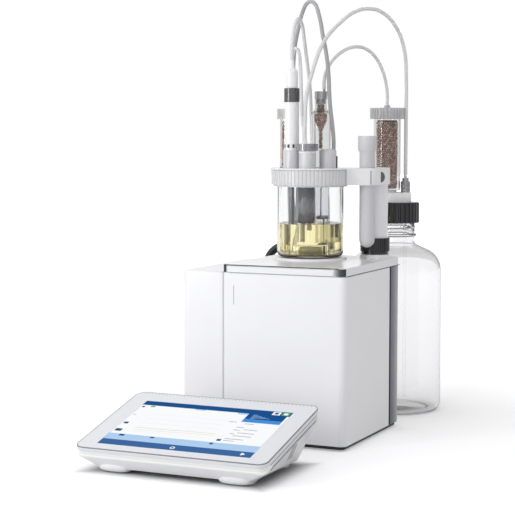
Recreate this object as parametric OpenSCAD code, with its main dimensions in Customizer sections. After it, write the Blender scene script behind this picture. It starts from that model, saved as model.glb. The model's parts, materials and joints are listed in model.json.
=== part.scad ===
// Automatic titrator: housing with a magnetic stirrer, pump module, touch terminal,
// titration cell on a stand and a waste bottle. Millimetres, +Z up, front towards -Y.

/* [Housing] */
// Width of the main housing
main_w = 131; // [124:1:140]
// Depth of the main housing and of the pump module
body_d = 156; // [152:1:164]
// Gap between the table and the white shells
skirt_gap = 5; // [4.5:0.5:7]
// Height of the white shells
shell_h = 166; // [158:1:176]
// Thickness of the lid on the main housing
lid_t = 8; // [7:0.5:10]
// Wall thickness of the moulded shells
wall = 2.5; // [2:0.1:3]
// Radius of the upright corners
corner_r = 7; // [5:0.5:9]
// Width of the pump module
pump_w = 46; // [42:1:54]
// Gap between neighbouring covers
seam = 0.6; // [0.4:0.1:1]
// Depth of the grey cover at the rear
rear_d = 27.5; // [24:0.5:32]
// Width of the shadow groove in front of the rear cover
groove_w = 4; // [2:0.5:6]
// Set-back of the black plinth from the shells
plinth_inset = 2.5; // [1.5:0.5:4]
// Width of the glossy window at the lid's corner
window_w = 10; // [8:0.5:14]
// Diameter of a rubber foot
foot_d = 14; // [10:1:16]
// Height of a rubber foot
foot_h = 1.6; // [1:0.1:2.5]

/* [Titration cell] */
// Distance of the cell's axis from the housing's right side
cell_x = 78; // [74:1:82]
// Distance of the cell's axis from the housing's front
cell_y = 98; // [94:1:102]
// Turn of the head's ports about the cell's axis, in degrees
head_turn = 25; // [20:1:30]
// Diameter of the raised stirring plate
stir_plate_d = 76; // [72:1:80]
// Height of the raised stirring plate
stir_plate_h = 2; // [1:0.5:4]
// Outer diameter of the glass vessel
vessel_d = 69; // [67:0.5:70]
// Height of the glass vessel
vessel_h = 79.5; // [74:0.5:84]
// Wall thickness of the glass vessel
glass_t = 2.5; // [2:0.1:3]
// Diameter of the vessel's ground flange
flange_d = 74; // [73:0.5:75]
// Thickness of the vessel's ground flange
flange_t = 4; // [3:0.5:5]
// Depth of the solution in the vessel
solution_h = 32; // [24:1:38]
// Thickness of the flat gasket under the head
gasket_t = 1.5; // [1:0.1:2]
// Outer diameter of the ribbed clamping ring
ring_d = 81.4; // [80:0.2:84]
// Number of ribs on the clamping ring
ring_ribs = 64; // [48:4:72]
// Height of the head's skirt inside the clamping ring
skirt_h = 9.3; // [8:0.1:11]
// Thickness of the arm's plate over the clamping ring
arm_plate_t = 1.7; // [1.4:0.1:2.5]
// Length of the stirring bar
bar_l = 25; // [20:1:30]
// Diameter of the stirring bar
bar_d = 7; // [6:0.5:8]

/* [Head ports] */
// Diameter of the port towers
tower_d = 17.6; // [17:0.2:18.4]
// Height of the side towers above the head
tower_h = 18.4; // [16:0.2:22]
// Height of the middle tower above the head
inlet_tower_h = 15.5; // [14:0.5:18]
// Sideways place of the sensor port
sensor_u = -19.5; // [-20:0.1:-19]
// Sideways place of the inlet port
inlet_u = -3.8; // [-4.2:0.1:-3.4]
// Forward place of the inlet port
inlet_v = -16; // [-16.4:0.1:-15.8]
// Sideways place of the sample port
sample_u = 17.4; // [17:0.1:18]
// Sideways place of the generator port
generator_u = 11.2; // [10.8:0.1:11.6]
// Backward place of the generator port
generator_v = 16; // [15.9:0.1:16.4]
// Diameter of the inlet port's ribbed nut
port_nut_d = 22; // [20:0.5:22]
// Height of the inlet port's ribbed nut
port_nut_h = 7; // [6:0.5:9]

/* [Sensor electrode] */
// Diameter of the sensor's handle
sensor_d = 15; // [14:0.5:15.4]
// Length of the sensor's handle
sensor_l = 42; // [36:1:50]
// Height of the sensor's seat in its tower
sensor_seat_h = 7; // [5:0.5:9]
// Diameter of the sensor's glass shaft
shaft_d = 6; // [5:0.5:7]
// Height of the sensor's locking ring
lock_h = 14.6; // [12:0.2:18]
// Diameter of the sensor's locking ring
lock_d = 15.8; // [15:0.2:17]
// Height of the cable plug above the locking ring
plug_h = 28.4; // [24:0.2:32]

/* [Generator electrode] */
// Outer diameter of the generator's glass tube
generator_d = 20.8; // [20:0.2:21]
// Height of the generator's shoulder above the head
generator_h = 60; // [54:1:66]
// Diameter of the generator's neck
neck_d = 12.6; // [12:0.2:13.4]
// Height of the generator's neck
neck_h = 11; // [9:0.5:13]
// Height of the generator's cap
generator_cap_h = 8; // [6:0.5:10]
// Depth that the generator reaches below the head's skirt
generator_dip = 66; // [56:1:70]

/* [Drying tubes] */
// Outer diameter of the cell's drying tube
dry_d = 17; // [16:0.2:17.4]
// Height of the cell's drying tube above the head
dry_h = 50.5; // [44:0.5:58]
// Outer diameter of the drying tube's cap
dry_cap_d = 22.6; // [21:0.2:23]
// Height of the drying tube's cap
dry_cap_h = 10.4; // [8:0.2:12]
// Outer diameter of the bottle's drying tube
big_dry_d = 30; // [28:0.5:31]
// Height of the bottle's drying tube
big_dry_h = 78.5; // [70:0.5:84]
// Outer diameter of the big drying tube's cap
big_cap_d = 38; // [36:0.5:39]
// Height of the big drying tube's cap
big_cap_h = 12.2; // [10:0.2:14]

/* [Stand] */
// Distance of the column's axis from the housing's right side
column_x = 22.3; // [21.5:0.1:24]
// Distance of the column's axis from the housing's rear
column_back = 15.8; // [15.8:0.1:17]
// Outer diameter of the column
column_d = 26.6; // [25:0.2:27]
// Outer diameter of the knurled column nut
nut_d = 30.7; // [30:0.1:31.5]
// Height of the knurled column nut
nut_h = 17; // [14:0.5:20]
// Height of the column's base ring
base_ring_h = 3.5; // [2.5:0.5:5]
// Height of the head arm
arm_h = 17.5; // [15:0.5:19]
// Diameter of the clamp screw's head
clamp_d = 10.6; // [9:0.2:11.4]
// Distance from the column's axis to the storage tube's axis
holder_gap = 24; // [23.9:0.1:25]
// Outer diameter of the storage tube
holder_d = 16; // [15:0.2:16.2]
// Outer diameter of the storage tube's rim
holder_rim_d = 19.2; // [18.6:0.2:20]
// Length of the storage tube
holder_l = 115; // [108:1:122]
// Height of the storage tube's lower end above the lid
holder_z = 12; // [10:0.5:16]
// Wall thickness of the storage tube
holder_wall = 1.3; // [1:0.1:1.6]

/* [Bottle] */
// Distance of the bottle's axis to the left of the housing's right side
bottle_x = 37.5; // [34:0.5:42]
// Distance of the bottle's axis from the housing's front
bottle_y = 248.5; // [244:0.5:256]
// Outer diameter of the one-litre bottle
bottle_d = 101; // [98:1:104]
// Height of the bottle with its neck
bottle_h = 225; // [220:1:230]
// Height of the bottle's straight wall
bottle_wall_h = 156; // [150:1:160]
// Outer diameter of the bottle's neck
bottle_neck_d = 41; // [40:0.5:42]
// Diameter of the ribbed bottle cap
cap_d = 51.2; // [50:0.2:54]
// Height of the ribbed bottle cap
cap_h = 22.8; // [20:0.2:25]
// Height of the two-port insert above the cap
insert_h = 13.4; // [11:0.2:16]
// Sideways place of the drying tube on the insert
big_dry_u = -10.9; // [-11.2:0.1:-10.6]
// Sideways place of the tube fitting on the insert
fitting_u = 10; // [9.8:0.1:10.4]
// Diameter of the tube fitting
fitting_d = 10.6; // [10:0.2:11]
// Height of the tube fitting
fitting_h = 16; // [13:0.5:18]
// Diameter of the dip tube in the bottle
dip_d = 4.4; // [4:0.2:5]

/* [Touch terminal] */
// Distance of the terminal's left edge from the housing's right side
term_x = 195; // [186:1:200]
// Distance of the terminal's front edge in front of the housing
term_y = 181; // [172:1:190]
// Width of the terminal's panel
panel_w = 193; // [184:1:200]
// Length of the terminal's panel along its slope
panel_l = 128.6; // [122:0.2:134]
// Height of the panel's front edge
panel_z = 23.8; // [21:0.2:27]
// Tilt of the panel, in degrees
tilt = 14; // [12:0.5:16]
// Thickness of the panel's frame
frame_t = 4; // [3.2:0.2:5]
// Width of the display
screen_w = 154.4; // [148:0.2:160]
// Length of the display along the slope
screen_l = 98; // [94:0.2:102]
// Distance from the panel's left edge to the display
screen_x = 19; // [16:0.5:22]
// Distance from the panel's front edge to the display
screen_y = 11; // [9:0.5:13]
// Thickness of the display glass
screen_t = 1.6; // [1:0.1:2]
// Radius of the panel's corners
panel_r = 9; // [6:0.5:12]
// Height of the terminal's feet
term_foot_h = 4.5; // [3.5:0.5:6]

/* [Hidden] */

// Colours
white = [0.93, 0.93, 0.94];
grey = [0.72, 0.73, 0.75];
dark = [0.12, 0.12, 0.13];
glass = [0.85, 0.9, 0.92, 0.4];

// Clearances
gap = 0.3;      // between a piece that turns and its neighbours
fit_gap = 0.15; // between pieces that stay together
shaft_gap = 0.05;
round_fn = 64;

// Levels above the table
shell_top = skirt_gap + shell_h;
lid_top = shell_top + lid_t;
plate_top = lid_top + stir_plate_h;
flange_top = plate_top + vessel_h;
flange_z = flange_top - flange_t;
skirt_z = flange_top + gasket_t;
arm_plate_z = skirt_z + skirt_h;
head_top = arm_plate_z + arm_plate_t;
arm_z = head_top - arm_h;

// Places of the head's other ports, in the head's own turned frame
sensor_v = -3;
sample_v = -5;
dry_u = -22.9;
dry_v = 16;
lead_u = 24.3;
lead_v = 8.5;
tower_r = tower_d / 2;
tower_z = head_top + tower_h;
inlet_z = head_top + inlet_tower_h;
boss_r = ring_d / 2 - 3.8;
skirt_r = boss_r + 0.8;
ring_bore_r = skirt_r + gap;
mouth_r = vessel_d / 2 - glass_t;
plug_bottom = skirt_z - 6;
vessel_floor = plate_top + 3;
solution_top = vessel_floor + solution_h;
bar_z = vessel_floor + bar_d / 2 + 0.7;

// Tubes below the inlet port: sideways place, diameter and level of the lower end
inlet_tube_list = [[-4, 4.6, vessel_floor + 14], [2.2, 4, vessel_floor + 26]];
// Hose ends on the inlet port: place and radius
barb_list = [[-2.8, -2.8, 2.6], [-3.2, 3.2, 2.4], [4.6, 0, 1.4]];

// Sensor electrode levels
sensor_z = tower_z + sensor_seat_h;
lock_z = sensor_z + sensor_l;
plug_z = lock_z + lock_h;
plug_top = plug_z + plug_h;
shaft_z = vessel_floor + 10;

// Generator levels
generator_shoulder = head_top + generator_h;
neck_top = generator_shoulder + neck_h;
generator_top = neck_top + generator_cap_h;
generator_low = skirt_z - generator_dip;

// Drying tube levels
dry_cap_z = head_top + dry_h;
dry_glass_t = 1.2;

// Stand
column_y = body_d - column_back;
nut_z = lid_top + base_ring_h + gap;
holder_y = column_y - holder_gap;
holder_low = lid_top + holder_z;
sleeve_r = holder_d / 2 + 4;
arm_end_r = nut_d / 2;
spigot_r = 9;
arm_roof_t = 3;
clamp_z = arm_z + 8;
clamp_dir = atan2(column_y - cell_y, cell_x - column_x) - 90;
clamp_shaft_r = 2.2;

// Bottle levels
bottle_r = bottle_d / 2;
neck_r = bottle_neck_d / 2;
bottle_t = 2.4;
// Radii of the bottle's heel and of its shoulder's two curves, and the shoulder's turn
heel_r = 9;
shoulder_r = 26;
shoulder_fillet = 4;
shoulder_a = 66;
cap_z = bottle_h - 15.4;
cap_top = cap_z + cap_h;
insert_top = cap_top + insert_h;
big_cap_z = insert_top + big_dry_h;
fitting_z = insert_top - 2.8;
big_dry_t = 1.6;
insert_rim_t = 0.8;

// Housing
side_x = -main_w;
pump_x = side_x - seam - pump_w;
shell_d = body_d - rear_d - groove_w;
ledge_z = shell_top - 5;
lid_recess_r = 26;
lid_skin = 2.5;
rotor_r = 21;
rotor_h = 8;
rotor_z = lid_top - lid_skin - 1 - rotor_h;
motor_r = 17;
motor_h = 34;
motor_top = rotor_z - 5;
bracket_t = 2.5;
post_r = 3;
board_t = 1.6;
board_post = 7;
// Rear sockets: sideways place, level and length of the hose stub
socket_list = [[side_x + 16, 118, 0], [side_x + 36, 118, 0], [side_x + 19, 150, 6]];
socket_r = 6;
power_x = side_x + 60;
power_z = 18;
power_w = 28;
power_h = 20;
plug_l = 18;
// Pump ports: sideways place and radius of the stub
port_list = [[pump_x + 12, 5], [pump_x + 34, 3]];
port_z = shell_top - 24;
pump_axis_z = skirt_gap + 26;
pump_motor_r = 13;
pump_motor_l = 42;
pump_saddle_w = 14;
pump_block_w = 32;
pump_block_d = 26;
pump_block_h = 62;
pump_shaft_r = 2;
chamber_front = 4; // wall between the motor and the pump's chamber
pump_mid = pump_x + pump_w / 2;
pump_head_y = 96;
boss_w = 8;
upstand_h = 3;
floor_top = skirt_gap + upstand_h;
screw_r = 1.5;

// Terminal
rim_w = 1;
rim_low = -8;
strip_h = 1.5;
strip_run = 16;
base_x = 18;
base_front = 11;
base_back = panel_l * cos(tilt) - 8;

// The origin lies under the middle of the whole object, cords left out
left_end = -term_x;
right_end = bottle_r - bottle_x;
front_end = -term_y;
rear_end = bottle_y + bottle_r;

function dir(a) = [cos(a), sin(a)];
// Points of an arc about c from angle a to angle b
function arc(c, r, a, b, n = 8) = [for (i = [0:n]) c + r * dir(a + (b - a) * i / n)];

module placed() {
    translate([-(left_end + right_end) / 2, -(front_end + rear_end) / 2, 0]) children();
}

module at_cell(u = 0, v = 0, z = 0) {
    translate([-cell_x, cell_y, 0]) rotate(head_turn) translate([u, v, z]) children();
}

module at_bottle(u = 0, z = 0) {
    translate([-bottle_x, bottle_y, 0]) rotate(head_turn) translate([u, 0, z]) children();
}

// Places on the rear face: the children's +Z points straight back
module at_rear(x, z) {
    translate([x, body_d, z]) rotate([-90, 0, 0]) children();
}

module at_screws() {
    for (x = [side_x + wall + boss_w / 2, -wall - boss_w / 2], y = [wall + 4 + boss_w / 2, shell_d - 14 - boss_w / 2])
        translate([x, y, 0]) children();
}

// Frame of the pump's shaft: its axis runs backwards along +Z from the pump head's front
module at_pump() {
    translate([pump_mid, pump_head_y, pump_axis_z]) rotate([-90, 0, 0]) children();
}

module at_column(z = 0) {
    translate([-column_x, column_y, z]) children();
}

module on_panel() {
    translate([-term_x, -term_y, panel_z]) rotate([tilt, 0, 0]) children();
}

// Flat rectangle with round corners, its lower left corner at the origin
module rounded(w, d, r) {
    translate([r, 0]) square([w - 2 * r, d]);
    translate([0, r]) square([w, d - 2 * r]);
    for (x = [r, w - r], y = [r, d - r])
        translate([x, y]) circle(r = r, $fn = round_fn);
}

// Flat outline of two discs joined by their outer tangents
module belt(p, r, q, s) {
    run = q - p;
    lead = atan2(run[1], run[0]);
    open = acos((r - s) / norm(run));
    translate(p) circle(r = r, $fn = round_fn);
    translate(q) circle(r = s, $fn = round_fn);
    polygon([p + r * dir(lead + open), q + s * dir(lead + open),
             q + s * dir(lead - open), p + r * dir(lead - open)]);
}

// Flat outline of a disc with n upright ribs of the given depth
module ribbed(d, depth, n) {
    step = 360 / n;
    polygon([for (i = [0:n - 1], k = [0:3])
        (d / 2 - (k < 2 ? 0 : depth)) * dir((i + [0, 0.45, 0.55, 0.9][k]) * step)]);
}

module rod(r, h, z = 0) {
    translate([0, 0, z]) cylinder(r = r, h = h, $fn = round_fn);
}

module pipe(r, bore, h, z = 0) {
    difference() {
        rod(r, h, z);
        rod(bore, h + 2, z - 1);
    }
}

// Walls of a shell, open above and below, from depth y0 to y1
module shell_walls(x, w, y0, y1, z0, z1, inset = 0) {
    module block(grow, z_more) {
        translate([x + grow, 0, z0 - z_more])
            linear_extrude(z1 - z0 + 2 * z_more)
                translate([0, grow]) rounded(w - 2 * grow, body_d - 2 * grow, corner_r - min(grow, corner_r - 1));
    }
    intersection() {
        difference() {
            block(inset, 0);
            block(inset + wall, 1);
        }
        translate([x - 1, y0, z0 - 1]) cube([w + 2, y1 - y0, z1 - z0 + 2]);
    }
}

module main_housing() {
    color(white) {
        shell_walls(side_x, main_w, 0, shell_d, skirt_gap, shell_top - seam);
        // Ledge that carries the lid
        shell_walls(side_x, main_w, 0, shell_d, ledge_z, shell_top, wall - 0.8);
        at_screws() difference() {
            translate([-boss_w / 2 - 0.8, -boss_w / 2, floor_top]) cube([boss_w + 1.6, boss_w, 16]);
            rod(screw_r + fit_gap, 60);
        }
    }
}

module top_plate() {
    color(white) difference() {
        translate([side_x, 0, shell_top]) linear_extrude(lid_t) rounded(main_w, body_d, corner_r);
        // Shadow groove under the front edge and at its left end
        translate([side_x + 2.6, -1, lid_top - 1.7]) cube([main_w - window_w - 3, 2.2, 0.9]);
        translate([side_x + 1, -1, shell_top + 0.6]) cube([1.6, 4.2, lid_t - 1.4]);
        translate([-window_w, -1, shell_top - 1]) cube([window_w + 1, 5, lid_t + 0.3]);
        // Room for the magnet rotor
        translate([-cell_x, cell_y, shell_top - 1]) rod(lid_recess_r, lid_t - lid_skin + 1);
    }
}

module status_window() {
    color(dark) intersection() {
        translate([side_x, 0, shell_top]) linear_extrude(lid_t - 0.9) rounded(main_w, body_d, corner_r);
        translate([-window_w + fit_gap, 0, shell_top]) cube([window_w, 4 - fit_gap, lid_t]);
    }
}

module rear_cover() {
    vent_w = 2;
    color(grey) difference() {
        union() {
            shell_walls(side_x, main_w, body_d - rear_d, body_d + 1, skirt_gap, shell_top - seam);
            // Lip that plugs into the main housing, seen in the shadow groove
            shell_walls(side_x, main_w, shell_d - 8, body_d - rear_d + wall, floor_top + fit_gap,
                        ledge_z - fit_gap, wall + fit_gap);
            shell_walls(side_x, main_w, body_d - rear_d, body_d - rear_d + wall, floor_top + fit_gap,
                        ledge_z - fit_gap, wall - 0.5);
        }
        // Air slots
        for (i = [0:9]) translate([-26 - i * 5, body_d - wall - 1, 60]) cube([vent_w, wall + 2, 40]);
        for (s = socket_list) at_rear(s[0], s[1]) rod(socket_r + fit_gap, wall + 2, -wall - 1);
        translate([power_x, body_d - wall - 1, power_z]) cube([power_w, wall + 2, power_h]);
    }
}

module base_plate() {
    color(dark) {
        difference() {
            plinth(side_x, main_w);
            // Counterbored holes of the housing screws
            at_screws() {
                rod(screw_r + fit_gap, 30);
                rod(3, foot_h + 2);
            }
        }
        plinth(pump_x, pump_w);
        for (x = [side_x + 26, -24], y = [28, shell_d - 26])
            translate([x, y, 0]) rod(post_r, board_post, floor_top);
    }
}

// Black plinth of one housing, with an upstand that fits inside the shell
module plinth(x, w) {
    low = plinth_inset;
    up = wall + fit_gap;
    translate([x + low, low, foot_h]) linear_extrude(skirt_gap - foot_h)
        rounded(w - 2 * low, body_d - 2 * low, corner_r - 2);
    translate([x + up, up, skirt_gap]) linear_extrude(upstand_h)
        rounded(w - 2 * up, body_d - 2 * up, corner_r - wall);
}

module rubber_feet() {
    color(dark) {
        for (x = [side_x + 12, -12, pump_x + pump_w / 2], y = [22, body_d - 22])
            translate([x, y, 0]) rod(foot_d / 2, foot_h);
        for (x = [-term_x + base_x + 16, -term_x + panel_w - base_x - 16],
             y = [-term_y + base_front + 15, -term_y + base_back - 15])
            translate([x, y, 0]) rod(11, term_foot_h);
    }
}

module housing_screws() {
    color(grey)
        at_screws() difference() {
            union() {
                rod(2.8, 1.8, foot_h + 0.1);
                rod(screw_r, 18, foot_h + 1);
            }
            translate([0, 0, foot_h]) cylinder(r = 1.2, h = 1.2, $fn = 6);
        }
}

module pump_housing() {
    inner = wall;
    color(white) difference() {
        translate([pump_x, 0, skirt_gap]) linear_extrude(shell_h) rounded(pump_w, body_d, corner_r);
        translate([pump_x + inner, inner, skirt_gap - 1]) linear_extrude(shell_h - wall + 1)
            rounded(pump_w - 2 * inner, body_d - 2 * inner, corner_r - inner);
        for (p = port_list) at_rear(p[0], port_z) rod(5 + fit_gap, wall + 2, -wall - 1);
    }
}

module pump_ports() {
    color(dark) for (p = port_list) at_rear(p[0], port_z) {
        rod(6.5, 2);
        rod(5, wall + 3, -wall - 2);
        rod(p[1], 6, 1);
    }
}

module pump_motor() {
    color(grey) difference() {
        union() {
            at_pump() rod(pump_motor_r, pump_motor_l, -pump_motor_l);
            translate([pump_mid - pump_saddle_w / 2, pump_head_y - pump_motor_l + 6, floor_top])
                cube([pump_saddle_w, pump_motor_l - 12, pump_axis_z - floor_top - pump_motor_r + 2]);
        }
        at_pump() rod(pump_shaft_r + shaft_gap, pump_motor_l + 8, -pump_motor_l - 1);
    }
}

module pump_head() {
    bore_y = pump_head_y + pump_block_d / 2;
    color(grey) difference() {
        translate([pump_mid - pump_block_w / 2, pump_head_y, floor_top])
            cube([pump_block_w, pump_block_d, pump_block_h]);
        at_pump() {
            rod(pump_motor_r, pump_block_d, chamber_front);
            rod(pump_shaft_r + 0.6, chamber_front + 2, -1);
        }
        // Riser and the two hose ports at its top
        translate([pump_mid, bore_y, pump_axis_z]) rod(6, pump_block_h - pump_motor_r * 2);
        for (x = [-8, 8]) translate([pump_mid + x, bore_y, floor_top + pump_block_h - 9]) rod(2.5, 20);
    }
}

module pump_eccentric() {
    throw = 2.5;
    cam_r = 7;
    color(dark) at_pump() {
        rod(pump_shaft_r, pump_motor_l + 4, 6 - pump_motor_l);
        rod(cam_r - 2, 3, chamber_front + 1);
        translate([throw, 0, 0]) rod(cam_r, 10, chamber_front + 4);
    }
}

module stir_plate() {
    color(white) translate([-cell_x, cell_y, lid_top]) {
        rod(stir_plate_d / 2, stir_plate_h * 0.6);
        rod(stir_plate_d / 2 - 0.8, stir_plate_h);
    }
}

module motor_bracket() {
    color(grey) translate([-cell_x, cell_y, 0]) {
        pipe(lid_recess_r + 2 * post_r + 1, 11, bracket_t, motor_top);
        for (a = [30:120:270]) rotate(a) translate([lid_recess_r + 3, 0, 0])
            rod(post_r, shell_top - motor_top, motor_top);
    }
}

module stirrer_motor() {
    color(dark) translate([-cell_x, cell_y, 0]) difference() {
        union() {
            rod(motor_r, motor_h, motor_top - motor_h);
            rod(10.8, 2, motor_top);
        }
        rod(2 + shaft_gap, motor_h, motor_top - 24);
    }
}

module magnet_rotor() {
    color(grey) translate([-cell_x, cell_y, 0]) {
        rod(rotor_r, rotor_h, rotor_z);
        rod(6, 2.4, rotor_z - 2.4);
        rod(2, 24, rotor_z - 24);
        for (x = [-12, 12]) translate([x, 0, 0]) rod(6, 0.6, rotor_z + rotor_h - 0.1);
    }
}

module main_board() {
    left = side_x + 20;
    front = 20;
    z = floor_top + board_post;
    // Parts on the board: place, width and height
    parts = [[12, 10, 14, 5], [44, 4, 22, 3], [22, 42, 10, 12], [56, 40, 16, 8]];
    color([0.1, 0.35, 0.2]) {
        translate([left, front, z]) cube([main_w - 38, shell_d - 38, board_t]);
        for (p = parts) translate([left + p[0], front + p[1], z + board_t - 0.1]) cube([p[2], p[2], p[3]]);
    }
}

// Sockets for the two cable plugs, the hose inlet and the mains inlet
module rear_sockets() {
    color(dark) {
        for (s = socket_list) at_rear(s[0], s[1]) difference() {
            union() {
                rod(socket_r, wall + 6, -wall - 6);
                rod(socket_r + 1.5, 1.5);
                rod(5, s[2]);
            }
            if (s[2] == 0) rod(4, 12, -4);
        }
        translate([power_x + fit_gap, body_d - wall - 12, power_z + fit_gap]) difference() {
            cube([power_w - 2 * fit_gap, wall + 12, power_h - 2 * fit_gap]);
            translate([3, 4, 3]) cube([power_w - 6 - 2 * fit_gap, 20, power_h - 6 - 2 * fit_gap]);
        }
    }
}

module cable_plugs() {
    color(dark) {
        for (i = [0:1]) at_rear(socket_list[i][0], socket_list[i][1]) {
            rod(3.8, 6, -3.5);
            rod(5, plug_l - 8, 1.5);
            rod(3.2, 8, plug_l - 8);
        }
        at_cell(lead_u, lead_v) {
            rod(4.2, 12, head_top);
            rod(2.9, 6, head_top + 12 - 0.5);
        }
    }
}

module stand_column() {
    color(grey) at_column(lid_top) {
        rod(column_d / 2, arm_z - lid_top);
        rod(nut_d / 2 + 0.3, base_ring_h);
        rod(spigot_r, head_top - arm_roof_t - lid_top);
    }
}

module column_nut() {
    bore = column_d / 2 + gap;
    color(dark) at_column(nut_z) difference() {
        union() {
            translate([0, 0, 3]) linear_extrude(nut_h - 3) ribbed(nut_d, 0.6, 40);
            rod(nut_d / 2 - 1.2, 4);
        }
        rod(bore, nut_h + 2, -1);
        translate([0, 0, nut_h - 0.8]) cylinder(r1 = bore, r2 = bore + 1, h = 1, $fn = round_fn);
    }
}

module head_arm() {
    cell = [-cell_x, cell_y];
    column = [-column_x, column_y];
    holder = [-column_x, holder_y];
    color(grey) difference() {
        union() {
            translate([0, 0, arm_z]) linear_extrude(arm_h) {
                belt(cell, 22, holder, sleeve_r);
                belt(holder, sleeve_r, column, arm_end_r);
            }
            translate([-cell_x, cell_y, arm_plate_z]) rod(ring_d / 2 + 0.3, arm_plate_t);
        }
        // Room for the clamping ring to turn, and the head's seat
        translate([-cell_x, cell_y, 0]) {
            rod(ring_d / 2 + 2 * gap, 60, arm_plate_z - 60);
            rod(boss_r + fit_gap, 20, arm_plate_z - 1);
        }
        translate([-column_x, holder_y, 0]) rod(holder_d / 2 + gap, 60, arm_z - 10);
        at_column() rod(spigot_r + fit_gap, arm_h - arm_roof_t + 1 + fit_gap, arm_z - 1);
        // Slit of the clamp
        at_column() rotate(clamp_dir - 40) translate([arm_end_r - 2.5, -0.6, arm_z - 1]) cube([6, 1.2, arm_h + 2]);
        on_clamp() {
            rod(clamp_d / 2 + gap, 10, arm_end_r - 2.8);
            rod(clamp_shaft_r + shaft_gap, arm_end_r);
        }
    }
}

// Frame of the clamp screw: its axis runs outwards along +Z
module on_clamp() {
    at_column(clamp_z) rotate(clamp_dir) rotate([0, 90, 0]) children();
}

module clamp_screw() {
    color(grey) on_clamp() difference() {
        union() {
            rod(clamp_d / 2, 2.2, arm_end_r - 2.5);
            rod(clamp_shaft_r, arm_end_r - 2.5 - spigot_r - 0.5, spigot_r + 0.6);
        }
        translate([0, 0, arm_end_r - 2.2]) cylinder(r = 2, h = 5, $fn = 6);
    }
}

module vessel_ring() {
    low = 2.1;
    color(white) at_cell(0, 0, flange_z - gap - low) {
        difference() {
            union() {
                translate([0, 0, 1.8]) linear_extrude(arm_plate_z - gap - flange_z + gap + low - 1.8)
                    ribbed(ring_d, 0.7, ring_ribs);
                rod(ring_d / 2 - 2.4, 3);
            }
            rod(ring_bore_r, 30, low);
            rod(vessel_d / 2 + 0.5, 30, -1);
        }
    }
}

module cell_head() {
    color(grey) at_cell() difference() {
        union() {
            rod(skirt_r, skirt_h, skirt_z);
            rod(boss_r, head_top - skirt_z, skirt_z);
            rod(mouth_r - 0.8, 8, plug_bottom);
            translate([sensor_u, sensor_v, 0]) rod(tower_r, tower_z - skirt_z, skirt_z);
            translate([sample_u, sample_v, 0]) rod(tower_r, tower_z - skirt_z, skirt_z);
            translate([inlet_u, inlet_v, 0]) rod(tower_r, inlet_z - skirt_z, skirt_z);
            // Stopper of the sample port
            translate([sample_u, sample_v, 0]) rod(tower_r - 1.6, 1.2, tower_z - 0.2);
        }
        translate([sensor_u, sensor_v, 0]) rod(shaft_d / 2 + fit_gap, 90, plug_bottom - 1);
        translate([inlet_u, inlet_v, 0]) rod(6.5 + fit_gap, 12, inlet_z - 10);
        for (t = inlet_tube_list) translate([inlet_u + t[0], inlet_v, 0]) rod(t[1] / 2 + fit_gap, 60, plug_bottom - 1);
        translate([generator_u, generator_v, 0]) rod(generator_d / 2 + fit_gap, 60, plug_bottom - 1);
        translate([dry_u, dry_v, 0]) rod(3 + fit_gap, 60, plug_bottom - 1);
    }
}

module head_gasket() {
    color(dark) at_cell() pipe(flange_d / 2 - 0.4, mouth_r - 0.2, gasket_t, flange_top);
}

module vessel() {
    r = vessel_d / 2;
    inner = r - glass_t;
    f = flange_d / 2;
    color(glass) at_cell(0, 0, plate_top) rotate_extrude($fn = 96) polygon(concat(
        [[0, 0]],
        arc([r - 6, 6], 6, -90, 0),
        [[r, vessel_h - flange_t], [f, vessel_h - flange_t], [f, vessel_h], [inner, vessel_h]],
        arc([inner - 4, 7], 4, 0, -90),
        [[0, 3]]));
}

module cell_solution() {
    r = mouth_r - fit_gap;
    color([0.93, 0.88, 0.45, 0.6]) at_cell() difference() {
        rotate_extrude($fn = 96) polygon(concat(
            [[0, vessel_floor]],
            arc([r - 4, vessel_floor + 4.2], 4, -80, 0),
            [[r, solution_top], [0, solution_top]]));
        rod(bar_l / 2 + 1, bar_d + 3, vessel_floor - 1);
        translate([sensor_u, sensor_v, 0]) rod(shaft_d / 2 + gap, 80, shaft_z - 8);
        for (t = inlet_tube_list) translate([inlet_u + t[0], inlet_v, 0]) rod(t[1] / 2 + gap, 80, t[2] - gap);
        translate([generator_u, generator_v, 0]) rod(generator_d / 2 + gap, 80, generator_low - gap);
    }
}

module stir_bar() {
    half = bar_l / 2 - bar_d / 2;
    color("white") at_cell(0, 0, bar_z) rotate([0, 90, 0]) {
        rod(bar_d / 2, 2 * half, -half);
        for (z = [-half, half]) translate([0, 0, z]) sphere(r = bar_d / 2, $fn = round_fn);
        rod(bar_d / 2 + 0.4, 2.4, -1.2);
    }
}

module sensor_electrode() {
    color(white) at_cell(sensor_u, sensor_v) difference() {
        union() {
            rod(tower_r - 0.8, sensor_seat_h, tower_z);
            rod(sensor_d / 2, sensor_l, sensor_z);
            rod(shaft_d / 2, tower_z - shaft_z + 1, shaft_z);
        }
        // Notches of the seat
        for (a = [0:60:300]) rotate(a) translate([tower_r - 1.6, -1, sensor_z - 4]) cube([3, 2, 2.6]);
        for (x = [-1.4, 1.4]) translate([x, 0, 0]) rod(0.5 + shaft_gap, 6, shaft_z - 1);
    }
}

module platinum_pins() {
    tip = generator_low + 4;
    disc_z = solution_top + 3;
    inner = generator_d / 2 - 1.3;
    color(grey) {
        at_cell(sensor_u, sensor_v) for (x = [-1.4, 1.4]) translate([x, 0, 0]) rod(0.5, 9, shaft_z - 5);
        at_cell(generator_u, generator_v) {
            rod(inner, 3, disc_z);
            rod(1.4, plug_bottom - disc_z + 20, disc_z);
            for (x = [3.6, 7]) translate([x, 0, 0]) rod(0.9, disc_z - tip + 1, tip);
        }
    }
}

module sensor_ring() {
    color(dark) at_cell(sensor_u, sensor_v, lock_z + gap) difference() {
        linear_extrude(lock_h - 2 * gap) ribbed(lock_d, 0.5, 30);
        rod(sensor_d / 2 - 2 + gap, lock_h + 2, -1);
    }
}

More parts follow.
